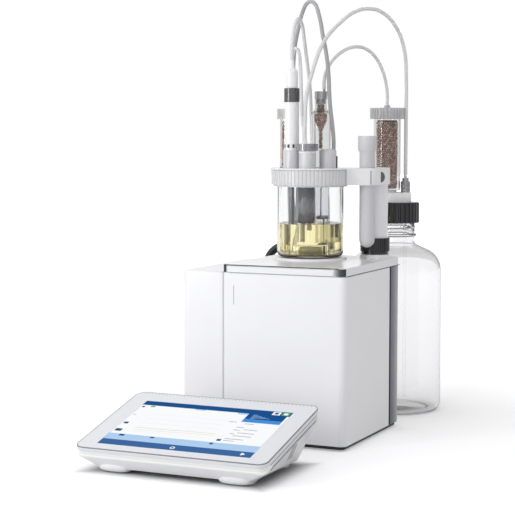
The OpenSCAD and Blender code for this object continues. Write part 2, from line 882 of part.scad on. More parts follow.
module sensor_plug() {
    body = 6.2;
    tip = 2.3;
    color(white) at_cell(sensor_u, sensor_v) rotate_extrude($fn = round_fn) polygon([
        [0, lock_z], [sensor_d / 2 - 2, lock_z], [sensor_d / 2 - 2, plug_z], [body, plug_z],
        [body, plug_z + plug_h * 0.6], [body - 1.4, plug_z + plug_h * 0.68],
        [tip + 0.6, plug_z + plug_h * 0.72], [tip, plug_top], [0, plug_top]]);
}

module port_fitting() {
    neck = 6.5;
    color(white) at_cell(inlet_u, inlet_v) {
        difference() {
            union() {
                rod(neck, inlet_tower_h, inlet_z - 9);
                rod(tower_r + 0.2, 2.1, inlet_z);
                rod(neck, port_nut_h + 2 * gap + 2.1, inlet_z);
            }
            for (t = inlet_tube_list) translate([t[0], 0, 0]) rod(t[1] / 2 + fit_gap, 12, inlet_z - 10);
        }
        for (b = barb_list) translate([b[0], b[1], 0]) rod(b[2], 2.6, inlet_z + 2.1 + port_nut_h + 2 * gap - 0.2);
    }
}

module port_nut() {
    color(dark) at_cell(inlet_u, inlet_v, inlet_z + 2.1 + gap) difference() {
        linear_extrude(port_nut_h) ribbed(port_nut_d, 0.5, 36);
        rod(6.5 + gap, port_nut_h + 2, -1);
    }
}

module inlet_tubes() {
    color(glass) at_cell(inlet_u, inlet_v)
        for (t = inlet_tube_list) translate([t[0], 0, 0]) pipe(t[1] / 2, t[1] / 2 - 0.8, inlet_z - t[2] - 1, t[2]);
}

module generator_glass() {
    r = generator_d / 2;
    n = neck_d / 2;
    t = 1.2;
    z = generator_shoulder;
    color(glass) at_cell(generator_u, generator_v) rotate_extrude($fn = round_fn) polygon(concat(
        [[r, generator_low]],
        arc([r - 4, z - 4], 4, 0, 75),
        [[n, z + 1], [n, neck_top], [n - t, neck_top], [n - t, z]],
        arc([r - 4, z - 5.2], 4 - t, 75, 0),
        [[r - t, generator_low]]));
}

module generator_cap() {
    color(grey) at_cell(generator_u, generator_v) {
        rod(neck_d / 2 + 0.3, generator_cap_h, neck_top);
        rod(neck_d / 2 - 1.2 - fit_gap, 6, neck_top - 5);
        translate([3.4, 0, 0]) rod(1.4, 2.4, generator_top - 0.2);
    }
}

module drying_tube() {
    r = dry_d / 2;
    color(glass) at_cell(dry_u, dry_v) rotate_extrude($fn = round_fn) polygon([
        [1.6, plug_bottom], [3, plug_bottom], [3, head_top], [r, head_top],
        [r, dry_cap_z + dry_cap_h - 3.6], [r - dry_glass_t, dry_cap_z + dry_cap_h - 3.6],
        [r - dry_glass_t, head_top + 1.2], [1.6, head_top + 1.2]]);
}

module drying_cap() {
    color(glass) at_cell(dry_u, dry_v, dry_cap_z) difference() {
        linear_extrude(dry_cap_h) ribbed(dry_cap_d, 0.5, 36);
        rod(dry_d / 2 + gap, dry_cap_h - 3.3 + 1, -1);
        rod(1.5, 30);
    }
}

// Filling of the three drying tubes, as packed solids
module sieve_fill() {
    r = neck_d / 2 - 1.2 - fit_gap;
    low = tower_z + 1;
    color([0.55, 0.4, 0.35]) {
        at_cell(generator_u, generator_v) rotate_extrude($fn = round_fn) polygon([
            [0, low], [1.9, low], [1.9, generator_shoulder - 22], [7, generator_shoulder - 9],
            [7, generator_shoulder - 4], [r - 0.3, generator_shoulder - 1.2], [r - 0.3, neck_top - 5 - fit_gap],
            [0, neck_top - 5 - fit_gap]]);
        at_cell(dry_u, dry_v) rod(dry_d / 2 - dry_glass_t - fit_gap, dry_h - 2, head_top + 1.2 + fit_gap);
        at_bottle(big_dry_u) rod(big_dry_d / 2 - big_dry_t - fit_gap, big_dry_h - 3, insert_top + 1.6 + fit_gap);
    }
}

module storage_tube() {
    r = holder_d / 2;
    t = holder_wall;
    rim = holder_rim_d / 2;
    l = holder_l;
    color(grey) translate([-column_x, holder_y, holder_low]) rotate_extrude($fn = round_fn) polygon(concat(
        arc([0, r], r, -90, 0),
        [[r, l - 17], [rim, l - 14], [rim, l], [rim - t, l], [rim - t, l - 13.4], [r - t, l - 16.6]],
        arc([0, r], r - t, 0, -90)));
}

// Profile of the bottle's wall from heel to neck, t inside its outer face
function bottle_side(t) =
    let (
        wall_end = [bottle_r - shoulder_r, bottle_wall_h],
        slope_start = wall_end + shoulder_r * dir(shoulder_a),
        fillet_x = neck_r + shoulder_fillet,
        run = slope_start[0] - fillet_x + shoulder_fillet * cos(shoulder_a),
        fillet_z = slope_start[1] + run / tan(shoulder_a) + shoulder_fillet * sin(shoulder_a)
    )
    concat(arc([bottle_r - heel_r, heel_r], heel_r - t, -80, 0),
           arc(wall_end, shoulder_r - t, 0, shoulder_a, 12),
           arc([fillet_x, fillet_z], shoulder_fillet + t, 180 + shoulder_a, 180, 5),
           [[neck_r - t, bottle_h]]);

module waste_bottle() {
    inner = bottle_side(bottle_t);
    push_up = 1.5;
    color(glass) at_bottle() rotate_extrude($fn = 96) polygon(concat(
        [[0, push_up], [bottle_r - 16, push_up], [bottle_r - 14, 0]],
        bottle_side(0),
        [for (i = [len(inner) - 1:-1:0]) inner[i]],
        [[0, push_up + bottle_t]]));
}

module bottle_cap() {
    color(dark) at_bottle(0, cap_z) difference() {
        union() {
            linear_extrude(cap_h - 0.8) ribbed(cap_d, 1, 30);
            rod(cap_d / 2 - 1.2, cap_h);
        }
        rod(neck_r + gap, bottle_h + insert_rim_t + gap - cap_z + 1, -1);
        rod(neck_r - 3.6, cap_h + 2, -1);
    }
}

module bottle_insert() {
    color(white) at_bottle() difference() {
        union() {
            rod(neck_r - 2.4, insert_rim_t, bottle_h);
            rod(neck_r - 4, fitting_z - bottle_h, bottle_h);
            translate([big_dry_u, 0, 0]) rod(big_dry_d / 2 - 4, insert_top - cap_top - gap, cap_top + gap);
        }
        translate([fitting_u, 0, 0]) rod(dip_d / 2 + fit_gap, 90, bottle_h - 20);
        translate([big_dry_u, 0, 0]) rod(1.8, 90, bottle_h - 20);
    }
}

module bottle_drying_tube() {
    r = big_dry_d / 2;
    top = big_cap_z + big_cap_h - 3.6;
    color(glass) at_bottle(big_dry_u) difference() {
        rod(r, top - insert_top, insert_top);
        rod(r - big_dry_t, 200, insert_top + 1.6);
        rod(1.8, 20, insert_top - 1);
    }
}

module bottle_drying_cap() {
    color(glass) at_bottle(big_dry_u, big_cap_z) difference() {
        union() {
            linear_extrude(big_cap_h) ribbed(big_cap_d, 0.9, 32);
            rod(3.4, 3, big_cap_h - 0.1);
        }
        rod(big_dry_d / 2 + gap, big_cap_h - 3.3 + 1, -1);
        rod(1.5, 30);
    }
}

module tube_fitting() {
    color(grey) at_bottle(fitting_u, fitting_z + gap) difference() {
        union() {
            linear_extrude(fitting_h - 4) ribbed(fitting_d, 0.5, 18);
            rod(fitting_d / 2 - 1.6, fitting_h - gap);
        }
        rod(dip_d / 2 + gap, fitting_h - 4, -1);
    }
}

module dip_tube() {
    low = 14;
    color(glass) at_bottle(fitting_u) pipe(dip_d / 2, dip_d / 2 - 0.8, fitting_z - low, low);
}

module panel_slab(inset, low, high, r) {
    translate([inset, inset, low]) linear_extrude(high - low)
        rounded(panel_w - 2 * inset, panel_l - 2 * inset, r);
}

module terminal_bezel() {
    color(white) on_panel() difference() {
        union() {
            panel_slab(0, -frame_t, 0, panel_r);
            panel_slab(2, -frame_t - 0.6, -frame_t + 1, panel_r - 2);
        }
        translate([screen_x - fit_gap, screen_y - fit_gap, -screen_t])
            cube([screen_w + 2 * fit_gap, screen_l + 2 * fit_gap, screen_t + 1]);
        translate([screen_x + 3, screen_y + 3, -frame_t - 2]) cube([screen_w - 6, screen_l - 6, frame_t + 2]);
    }
}

module display() {
    color([0.2, 0.4, 0.75]) on_panel()
        translate([screen_x, screen_y, -screen_t]) cube([screen_w, screen_l, screen_t - 0.1]);
}

module light_strip() {
    color([0.85, 0.95, 0.85]) on_panel() difference() {
        panel_slab(rim_w + 0.3, rim_low - strip_h, rim_low, panel_r - 1);
        panel_slab(rim_w + 2.2, rim_low - 4, rim_low + 4, panel_r - 2.6);
        translate([-1, strip_run, rim_low - 4]) cube([panel_w + 2, panel_l, 8]);
    }
}

// Solid wedge between the panel's rim and the table, moved inwards by inset
module wedge(inset) {
    hull() {
        on_panel() panel_slab(rim_w + 0.6 + inset, rim_low - strip_h - 1 - inset, rim_low - strip_h - inset, 4);
        translate([-term_x + base_x + inset, -term_y + base_front + inset, term_foot_h + inset])
            linear_extrude(1) rounded(panel_w - 2 * (base_x + inset), base_back - base_front - 2 * inset, 6);
    }
}

module terminal_base() {
    color(white) difference() {
        union() {
            wedge(0);
            on_panel() {
                panel_slab(rim_w, rim_low, -frame_t - 0.6, panel_r - 1);
                panel_slab(rim_w + 2.4, rim_low - strip_h - 0.5, rim_low + 0.5, panel_r - 3);
            }
        }
        wedge(wall);
        on_panel() panel_slab(rim_w + 2.4 + wall, rim_low - strip_h - 6, 2, 4);
        // Slots in the right side
        for (i = [0:3]) translate([-term_x + panel_w - 14, -term_y + 66 + i * 4, 14]) cube([20, 2, 14]);
    }
}

module terminal_board() {
    color([0.1, 0.35, 0.2]) on_panel() {
        translate([screen_x + 6, screen_y + 6, -frame_t - 4]) cube([screen_w - 12, screen_l - 12, board_t]);
        for (x = [10, screen_w - 10], y = [10, screen_l - 10])
            translate([screen_x + x, screen_y + y, 0]) rod(2, 4 - board_t - screen_t + frame_t, -frame_t - 4 + board_t);
    }
}

// Route points of the free tubes and cables
waste_route = [
    [-76, 78.2, 300.6], [-76, 78.2, 309], [-76.1, 79, 324], [-76.2, 82, 345], [-74, 91, 369],
    [-69, 109, 401], [-61, 137, 424], [-53, 166, 438], [-47, 185, 441], [-41, 206, 439],
    [-34, 232, 425], [-29.5, 248, 401], [-28.5, 253, 367], [-28.4, 253, 330], [-28.4, 252.7, 280],
    [-28.4, 252.7, 259]
];
vent_route = [
    [-71.5, 118.7, 354.2], [-71.5, 118.7, 362], [-71.1, 123.5, 372.9], [-69.8, 131.7, 381.7], [-67.9, 141.3, 388.5],
    [-65.9, 151.9, 393.7], [-64, 163, 397.7], [-61.6, 174.4, 400.2], [-59, 186, 401], [-56.6, 197.6, 399.9],
    [-54.4, 208.9, 396.6], [-52.4, 219.4, 391.2], [-50.5, 228.4, 383.6], [-48.9, 235.6, 374.2], [-47.9, 241, 363.5],
    [-47.4, 243.9, 352], [-47.4, 243.9, 339.4]
];
sensor_route = [
    [-94.4, 87, 383.4], [-94.4, 87, 394], [-94.8, 91, 409], [-95.6, 99, 422], [-96.8, 110, 427],
    [-97.8, 121, 422], [-98.6, 129, 407], [-98.6, 135, 389], [-98, 142, 363], [-99, 149, 333],
    [-101, 157, 290], [-105, 166, 247], [-107, 175, 210], [-104, 184, 180], [-98, 191, 155],
    [-95, 193, 132], [-95, 189.5, 121.5], [-95, 181, 118], [-95, 174, 118]
];
generator_route = [
    [-59.6, 116, 290.5], [-59.6, 116, 301], [-60.4, 114, 318], [-62, 113, 333], [-64.2, 115, 350],
    [-66.5, 118, 371], [-70, 120, 392], [-75, 123, 410], [-81, 128, 430], [-90, 135, 445],
    [-101, 143, 446], [-110, 150, 436], [-117, 156, 420], [-123, 161, 402], [-127, 166, 380],
    [-131, 172, 340], [-134, 178, 290], [-134, 182, 240], [-132, 186, 195], [-128, 191, 160],
    [-119, 193, 138], [-115.4, 189.5, 123], [-115, 181, 118], [-115, 174, 118]
];
supply_route = [
    [-79, 83.5, 300.6], [-79, 83.5, 309], [-81, 83.5, 324], [-82.5, 84, 347], [-84.8, 88, 367],
    [-88.5, 95, 380], [-94.7, 106, 392], [-104, 119, 397], [-112, 131, 392], [-119, 142, 375],
    [-126, 153, 338], [-132, 163, 290], [-138, 173, 240], [-142, 181, 200], [-144, 184, 175],
    [-144, 180, 156], [-143.6, 171, 147], [-143.6, 163, 147]
];
link_route = [
    [-165.6, 163, 147], [-165.6, 170, 147], [-166.8, 178, 149], [-169.3, 186, 154], [-171, 192.5, 161.5],
    [-170.6, 197.5, 169.5], [-166.5, 201.5, 177], [-159, 204, 182], [-149, 205.5, 184.5], [-138.5, 206.5, 183.6],
    [-128.5, 206.5, 179], [-120, 204, 171.5], [-114.6, 197.8, 162.5], [-112.4, 188.5, 155], [-112, 178, 150.8],
    [-112, 170, 150], [-112, 162, 150]
];

// Middle of the run from b to c on a smooth curve through a, b, c and d
function between(a, b, c, d) = (9 * (b + c) - a - d) / 16;
// Route with one more point on each run; the first and last runs stay straight
function finer(p) = concat(
    [for (i = [0:len(p) - 2], k = [0, 1])
        k == 0 ? p[i]
        : i == 0 || i == len(p) - 2 ? (p[i] + p[i + 1]) / 2
        : between(p[i - 1], p[i], p[i + 1], p[i + 2])],
    [p[len(p) - 1]]);

// Tube swept along a route; its rings stand square to the mean of the neighbouring runs
module swept(points, d, sides) {
    route = finer(points);
    last = len(route) - 1;
    side_dir = [0.55, -0.62, 0.56];
    rings = [for (i = [0:last])
        let (
            run = route[min(i + 1, last)] - route[max(i - 1, 0)],
            t = run / norm(run),
            flat = side_dir - (side_dir * t) * t,
            n = flat / norm(flat),
            b = cross(t, n)
        )
        for (k = [0:sides - 1])
            route[i] + d / 2 * (cos(k * 360 / sides) * n + sin(k * 360 / sides) * b)];
    walls = [for (i = [0:last - 1], k = [0:sides - 1], half = [0, 1])
        let (a = i * sides, c = (k + 1) % sides)
        half == 0 ? [a + k, a + c, a + sides + c] : [a + k, a + sides + c, a + sides + k]];
    ends = [[for (k = [sides - 1:-1:0]) k], [for (k = [0:sides - 1]) last * sides + k]];
    polyhedron(rings, concat(walls, ends));
}

module waste_tube() { color(glass) swept(waste_route, 4, 8); }
module vent_tube() { color(glass) swept(vent_route, 3.6, 8); }
module sensor_cable() { color(white) swept(sensor_route, 3.8, 8); }
module generator_cable() { color(grey) swept(generator_route, 4.2, 8); }
module supply_tube() { color(glass) swept(supply_route, 3.6, 8); }
module link_hose() { color(dark) swept(link_route, 9, 12); }

placed() main_housing();
placed() top_plate();
placed() status_window();
placed() rear_cover();
placed() base_plate();
placed() rubber_feet();
placed() housing_screws();
placed() pump_housing();
placed() pump_ports();
placed() pump_motor();
placed() pump_head();
placed() pump_eccentric();
placed() stir_plate();
placed() motor_bracket();
placed() stirrer_motor();
placed() magnet_rotor();
placed() main_board();
placed() rear_sockets();
placed() cable_plugs();
placed() stand_column();
placed() column_nut();
placed() head_arm();
placed() clamp_screw();
placed() vessel_ring();
placed() cell_head();
placed() head_gasket();
placed() vessel();
placed() cell_solution();
placed() stir_bar();
placed() sensor_electrode();
placed() platinum_pins();
placed() sensor_ring();
placed() sensor_plug();
placed() port_fitting();
placed() port_nut();
placed() inlet_tubes();
placed() generator_glass();
placed() generator_cap();
placed() drying_tube();
placed() drying_cap();
placed() sieve_fill();
placed() storage_tube();
placed() waste_bottle();
placed() bottle_cap();
placed() bottle_insert();
placed() bottle_drying_tube();
placed() bottle_drying_cap();
placed() tube_fitting();
placed() dip_tube();
placed() terminal_base();
placed() terminal_bezel();
placed() display();
placed() light_strip();
placed() terminal_board();
placed() waste_tube();
placed() vent_tube();
placed() sensor_cable();
placed() generator_cable();
placed() supply_tube();
placed() link_hose();
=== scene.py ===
import json
import math
import random

import bmesh
import bpy
from mathutils import Matrix, Vector

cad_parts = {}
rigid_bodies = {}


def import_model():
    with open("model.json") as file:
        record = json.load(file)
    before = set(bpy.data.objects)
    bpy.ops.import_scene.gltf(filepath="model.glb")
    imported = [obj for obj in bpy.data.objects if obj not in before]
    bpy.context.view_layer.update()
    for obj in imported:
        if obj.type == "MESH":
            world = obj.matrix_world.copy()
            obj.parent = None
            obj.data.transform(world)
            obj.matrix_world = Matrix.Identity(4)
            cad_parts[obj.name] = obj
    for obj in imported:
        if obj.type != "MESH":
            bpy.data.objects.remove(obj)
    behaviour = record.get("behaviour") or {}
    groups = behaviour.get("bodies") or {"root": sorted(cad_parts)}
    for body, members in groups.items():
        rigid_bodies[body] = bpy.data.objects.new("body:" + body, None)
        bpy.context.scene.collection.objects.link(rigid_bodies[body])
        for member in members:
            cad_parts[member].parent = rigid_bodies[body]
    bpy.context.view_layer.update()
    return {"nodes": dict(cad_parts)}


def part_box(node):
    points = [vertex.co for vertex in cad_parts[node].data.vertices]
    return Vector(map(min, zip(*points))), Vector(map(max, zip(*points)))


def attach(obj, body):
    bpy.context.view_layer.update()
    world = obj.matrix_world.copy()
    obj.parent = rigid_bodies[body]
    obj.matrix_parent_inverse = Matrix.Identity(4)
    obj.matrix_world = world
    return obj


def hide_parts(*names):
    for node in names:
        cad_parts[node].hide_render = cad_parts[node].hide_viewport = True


for o in list(bpy.data.objects):
    bpy.data.objects.remove(o)
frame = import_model()
NODES = frame["nodes"]
ROOT = "titrator"
MM = 0.001

# ---------------------------------------------------------------- places
# Housing measures run from the housing's right front lower corner, in millimetres:
# x to the right, y to the rear and z up.
low_h, high_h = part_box("main_housing")
HEAD_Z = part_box("head_arm")[1].z
LIQUID_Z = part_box("cell_solution")[1].z


def at(x, y, z):
    """Point of the frame for three housing measures."""
    return Vector((high_h.x + x * MM, low_h.y + y * MM, z * MM))


def across(x):
    """Housing measure of a frame x."""
    return (x - high_h.x) / MM


def middle(node):
    a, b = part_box(node)
    return (a + b) / 2


def bottom(node):
    """Height of a node's lower end, in millimetres."""
    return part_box(node)[0].z / MM


def top(node):
    """Height of a node's upper end, in millimetres."""
    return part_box(node)[1].z / MM


# ---------------------------------------------------------------- camera
# From the right of the front and slightly above, as the photograph is taken
CAMERA_PLACE = (0.62738, -1.42006, 0.31054)
CAMERA_TURN = 24.818
CAMERA_DOWN = 4.717
lens = bpy.data.cameras.new("camera")
lens.lens = 106.794
lens.sensor_width = 36
camera = bpy.data.objects.new("camera", lens)
camera.location = CAMERA_PLACE
camera.rotation_euler = (math.radians(90 - CAMERA_DOWN), 0, math.radians(CAMERA_TURN))
bpy.context.scene.collection.objects.link(camera)
bpy.context.scene.camera = camera
bpy.context.scene.view_settings.view_transform = "Standard"


# ---------------------------------------------------------------- node helpers
def noise(tree, coords, scale, detail=3.0, stretch=None):
    n = tree.nodes.new("ShaderNodeTexNoise")
    n.inputs["Scale"].default_value = scale
    n.inputs["Detail"].default_value = detail
    if stretch:
        mapping = tree.nodes.new("ShaderNodeMapping")
        mapping.inputs["Scale"].default_value = stretch
        tree.links.new(coords, mapping.inputs["Vector"])
        coords = mapping.outputs["Vector"]
    tree.links.new(coords, n.inputs["Vector"])
    return n.outputs["Fac"]


def span(tree, value, low, high, low_to=0.0, high_to=1.0, kind="LINEAR"):
    """The value carried from low..high to low_to..high_to, and held there."""
    n = tree.nodes.new("ShaderNodeMapRange")
    n.interpolation_type = kind
    ends = (("From Min", low), ("From Max", high), ("To Min", low_to), ("To Max", high_to))
    for key, number in ends:
        n.inputs[key].default_value = number
    tree.links.new(value, n.inputs["Value"])
    return n.outputs["Result"]


def blend(tree, factor, first, second):
    n = tree.nodes.new("ShaderNodeMix")
    n.data_type = "RGBA"
    n.inputs[6].default_value = (*first, 1)
    n.inputs[7].default_value = (*second, 1)
    tree.links.new(factor, n.inputs[0])
    return n.outputs[2]


def ramp(tree, value, stops):
    """Colour ramp over rising (place, rgb) stops."""
    n = tree.nodes.new("ShaderNodeValToRGB")
    elements = n.color_ramp.elements
    while len(elements) < len(stops):
        elements.new(0.5)
    for element, (place, rgb) in zip(elements, stops):
        element.position = place
        element.color = (*rgb, 1)
    tree.links.new(value, n.inputs[0])
    return n.outputs[0]


# ---------------------------------------------------------------- materials
GRAIN_HEIGHT = 0.0004


def material(name, rgb, rough=0.4, metal=0.0, **sockets):
    m = bpy.data.materials.new(name)
    m.use_nodes = True
    shader = m.node_tree.nodes["Principled BSDF"]
    shader.inputs["Base Color"].default_value = (*rgb, 1)
    shader.inputs["Roughness"].default_value = rough
    shader.inputs["Metallic"].default_value = metal
    for key, value in sockets.items():
        shader.inputs[key.replace("_", " ")].default_value = value
    m.diffuse_color = (*rgb, 1)
    return m


def grained(name, rgb, rough, vary=0.015, grain=1600, depth=0.05, clouds=25, stretch=None,
            metal=0.0, **sockets):
    """Plastic or metal with a slow colour drift and a fine moulded or brushed grain.

    A pair of numbers as rough makes the gloss uneven between them.
    """
    uneven = isinstance(rough, tuple)
    m = material(name, rgb, sum(rough) / 2 if uneven else rough, metal, **sockets)
    tree = m.node_tree
    shader = tree.nodes["Principled BSDF"]
    coords = tree.nodes.new("ShaderNodeTexCoord").outputs["Object"]
    if vary:
        darker = [max(0.0, c * (1 - vary)) for c in rgb]
        lighter = [min(1.0, c * (1 + vary)) for c in rgb]
        drift = blend(tree, noise(tree, coords, clouds), darker, lighter)
        tree.links.new(drift, shader.inputs["Base Color"])
    if uneven:
        gloss = span(tree, noise(tree, coords, clouds * 3), 0.3, 0.7, *rough)
        tree.links.new(gloss, shader.inputs["Roughness"])
    if depth:
        bump = tree.nodes.new("ShaderNodeBump")
        bump.inputs["Strength"].default_value = depth
        bump.inputs["Distance"].default_value = GRAIN_HEIGHT
        tree.links.new(noise(tree, coords, grain, 2.0, stretch), bump.inputs["Height"])
        tree.links.new(bump.outputs["Normal"], shader.inputs["Normal"])
    return m


def clear(name, rgb, rough=0.02, ior=1.45, **sockets):
    return material(name, rgb, rough, IOR=ior, Transmission_Weight=1.0, **sockets)


def grade(m, axis, start, end, stops):
    """Base colour that changes along one axis, from start to end in metres."""
    tree = m.node_tree
    split = tree.nodes.new("ShaderNodeSeparateXYZ")
    tree.links.new(tree.nodes.new("ShaderNodeNewGeometry").outputs["Position"], split.inputs[0])
    colour = ramp(tree, span(tree, split.outputs[axis], start, end), stops)
    tree.links.new(colour, tree.nodes["Principled BSDF"].inputs["Base Color"])
    return m


# White and grey housing parts
SHELL = (0.83, 0.83, 0.85)
shell = grained("shell_white", SHELL, 0.3, 0.015, 1800, 0.03, 18, Coat_Weight=0.1)
lid_white = grained("lid_white", (0.80, 0.80, 0.82), 0.26, 0.015, 1800, 0.03, 18,
                    Coat_Weight=0.2)
bezel = grained("bezel_white", (0.72, 0.735, 0.77), 0.3, 0.015, 1800, 0.02, 18)
# The rear cover carries painted shading: dark at its front beside the housing and lighter towards
# the rear
cover = grade(
    grained("cover_painted_shade", (0.30, 0.30, 0.33), (0.3, 0.4), 0, 1400, 0.02, 20, metal=0.3),
    "Y", at(0, 127, 0).y, at(0, 156, 0).y,
    [(0.0, (0.08, 0.08, 0.10)), (0.4, (0.22, 0.22, 0.26)), (1.0, (0.62, 0.62, 0.65))])
# The window fades into the white lid on its left
window = grade(
    grained("window_black", (0.02, 0.02, 0.03), (0.08, 0.14), 0, 300, 0.0, Coat_Weight=0.5),
    "X", at(-14, 0, 0).x, at(-1, 0, 0).x,
    [(0.0, SHELL), (0.3, (0.30, 0.30, 0.32)), (0.6, (0.06, 0.06, 0.075)),
     (1.0, (0.012, 0.012, 0.02))])
# Black feet below the housing, white ones below the terminal in front of it
feet = grade(
    grained("feet", (0.4, 0.4, 0.4), (0.5, 0.65), 0, 700, 0.1),
    "Y", at(0, -30, 0).y, at(0, -20, 0).y,
    [(0.0, (0.80, 0.80, 0.81)), (1.0, (0.02, 0.02, 0.021))])
trim = grained("trim_grey", (0.36, 0.36, 0.38), (0.45, 0.55))
# Dark of the holes and slots in the terminal: painted shade
hole_shade = grained("hole_painted_shade", (0.10, 0.10, 0.11), (0.5, 0.6))
seal = grained("seal_dark", (0.09, 0.09, 0.10), (0.4, 0.5))
seam = grained("seam_black", (0.03, 0.03, 0.035), (0.4, 0.5))
black = grained("plastic_black", (0.014, 0.014, 0.016), (0.34, 0.46), 0.08, 1200, 0.12)
rubber = grained("rubber_black", (0.02, 0.02, 0.021), (0.7, 0.85), 0.1, 700, 0.3)
cap_black = grained("cap_black", (0.022, 0.022, 0.025), (0.18, 0.28), 0.08, 1200, 0.04,
                    Coat_Weight=0.4)
# Stand, arm and head
BRUSHED_UP = (1, 1, 0.06)
column_grey = grained("column_aluminium", (0.84, 0.84, 0.86), (0.28, 0.36), 0.02, 900, 0.05, 12,
                      BRUSHED_UP, 0.15)
tube_grey = grained("tube_satin", (0.60, 0.60, 0.62), (0.46, 0.54), 0.02, 900, 0.03, 12,
                    BRUSHED_UP)
arm_grey = grained("arm_grey", (0.80, 0.80, 0.815), (0.34, 0.46))
ring_grey = grained("ring_grey", (0.68, 0.68, 0.695), (0.28, 0.38), Coat_Weight=0.2)
head_grey = grained("head_grey", (0.62, 0.62, 0.64), (0.2, 0.3), Coat_Weight=0.4)
# Metal and half-metallic caps, nuts and screws
ring_dark = grained("ring_dark", (0.20, 0.20, 0.21), (0.24, 0.34), 0.05, 900, 0.04, 40,
                    metal=0.7)
nut_dark = grained("nut_dark", (0.42, 0.42, 0.44), (0.24, 0.36), 0.05, 900, 0.04, 40, metal=0.7)
fitting_grey = grained("fitting_grey", (0.46, 0.46, 0.48), (0.22, 0.32), 0.04, 900, 0.04, 40,
                       metal=0.6)
cap_grey = grained("cap_grey", (0.5, 0.5, 0.52), (0.2, 0.3), 0.04, 900, 0.04, 40, metal=0.6)
steel = grained("steel", (0.55, 0.55, 0.56), (0.22, 0.36), 0.03, 700, 0.06, 60, (0.1, 1, 1), 1.0)
platinum = grained("platinum", (0.36, 0.36, 0.35), (0.24, 0.36), 0.05, 700, 0.04, 90, metal=0.6)
# Inside the housing
motor_steel = grained("motor_steel", (0.42, 0.42, 0.44), (0.34, 0.5), 0.05, 700, 0.1, 40,
                      (1, 1, 0.1), 0.9)
pump_metal = grained("pump_metal", (0.5, 0.5, 0.52), (0.36, 0.5), 0.04, 700, 0.1, 40, metal=0.8)
magnet = grained("magnet", (0.16, 0.16, 0.18), (0.4, 0.55), 0.08, 600, 0.15)
board = grained("circuit_board", (0.02, 0.13, 0.06), (0.3, 0.5), 0.18, 240, 0.25)
# White fittings
ptfe = grained("ptfe_white", (0.86, 0.86, 0.85), (0.4, 0.5), 0.02, 1200, 0.06,
               Subsurface_Weight=0.2, Subsurface_Radius=(0.001, 0.001, 0.001))
plug_white = grained("plug_white", (0.86, 0.86, 0.87), (0.3, 0.4), 0.02)
# The insert's white is a lighter copy of the PTFE's: painted light against the shade it stands in
insert_painted_light = grained("insert_painted_light", (0.95, 0.95, 0.955), (0.4, 0.5), 0.01, 1200, 0.05)
# The sensor's shaft and the generator's glass are painted darker inside the head and the vessel:
# painted shade
HEAD_SHADE_SPAN = (HEAD_Z - 0.018, HEAD_Z - 0.016)
electrode = grade(
    grained("electrode", (0.8, 0.8, 0.8), (0.2, 0.3), 0, Coat_Weight=0.3),
    "Z", *HEAD_SHADE_SPAN, [(0.0, (0.26, 0.26, 0.28)), (1.0, (0.86, 0.86, 0.87))])
joint_glass_painted_shade = grade(
    clear("glass_joint_painted_shade", (0.9, 0.9, 0.9), 0.05, 1.35, Specular_IOR_Level=0.9),
    "Z", *HEAD_SHADE_SPAN, [(0.0, (0.80, 0.80, 0.815)), (1.0, (0.985, 0.99, 0.99))])
# The vessel's glass takes the liquid's tint below the liquid's level
cell_glass = grade(
    clear("glass_cell", (0.98, 0.98, 0.98), 0.0, 1.3, Specular_IOR_Level=0.9),
    "Z", LIQUID_Z - 0.0004, LIQUID_Z + 0.0004,
    [(0.0, (0.985, 0.955, 0.80)), (1.0, (0.985, 0.99, 0.99))])
# Clear and see-through parts
glass = clear("glass_clear", (0.985, 0.99, 0.99), 0.0, 1.45, Specular_IOR_Level=0.9)
bottle_glass = clear("glass_bottle", (0.965, 0.965, 0.97), 0.03, 1.45)
tube_thin = clear("tube_thin", (0.985, 0.985, 0.985), 0.02, 1.06)
amber = clear("liquid_amber", (0.98, 0.95, 0.78), 0.0, 1.36)
sleeve_grey = grained("sleeve_smoky", (0.62, 0.62, 0.65), (0.12, 0.2), 0.05,
                      Transmission_Weight=0.75)
cap_clear = material("cap_clear", (0.80, 0.80, 0.81), 0.25, IOR=1.4, Transmission_Weight=0.5)
tube_clear = material("tube_clear", (0.86, 0.86, 0.87), 0.3, IOR=1.4, Transmission_Weight=0.35)
pane = material("display_glass", (0.012, 0.014, 0.02), 0.12, Coat_Weight=0.5)
glow = material("light_pale_green", (0.78, 0.85, 0.77), 0.35,
                Emission_Color=(0.80, 0.90, 0.76, 1), Emission_Strength=0.12)
# Leads and hoses
cable_light = grained("cable_light", (0.70, 0.70, 0.72), (0.42, 0.55), 0.05, 500, 0.15)
cable_dark = grained("cable_dark", (0.40, 0.40, 0.415), (0.35, 0.5), 0.08, 500, 0.15)
hose_black = grained("hose_black", (0.012, 0.012, 0.014), (0.28, 0.4), 0.1, 600, 0.12)

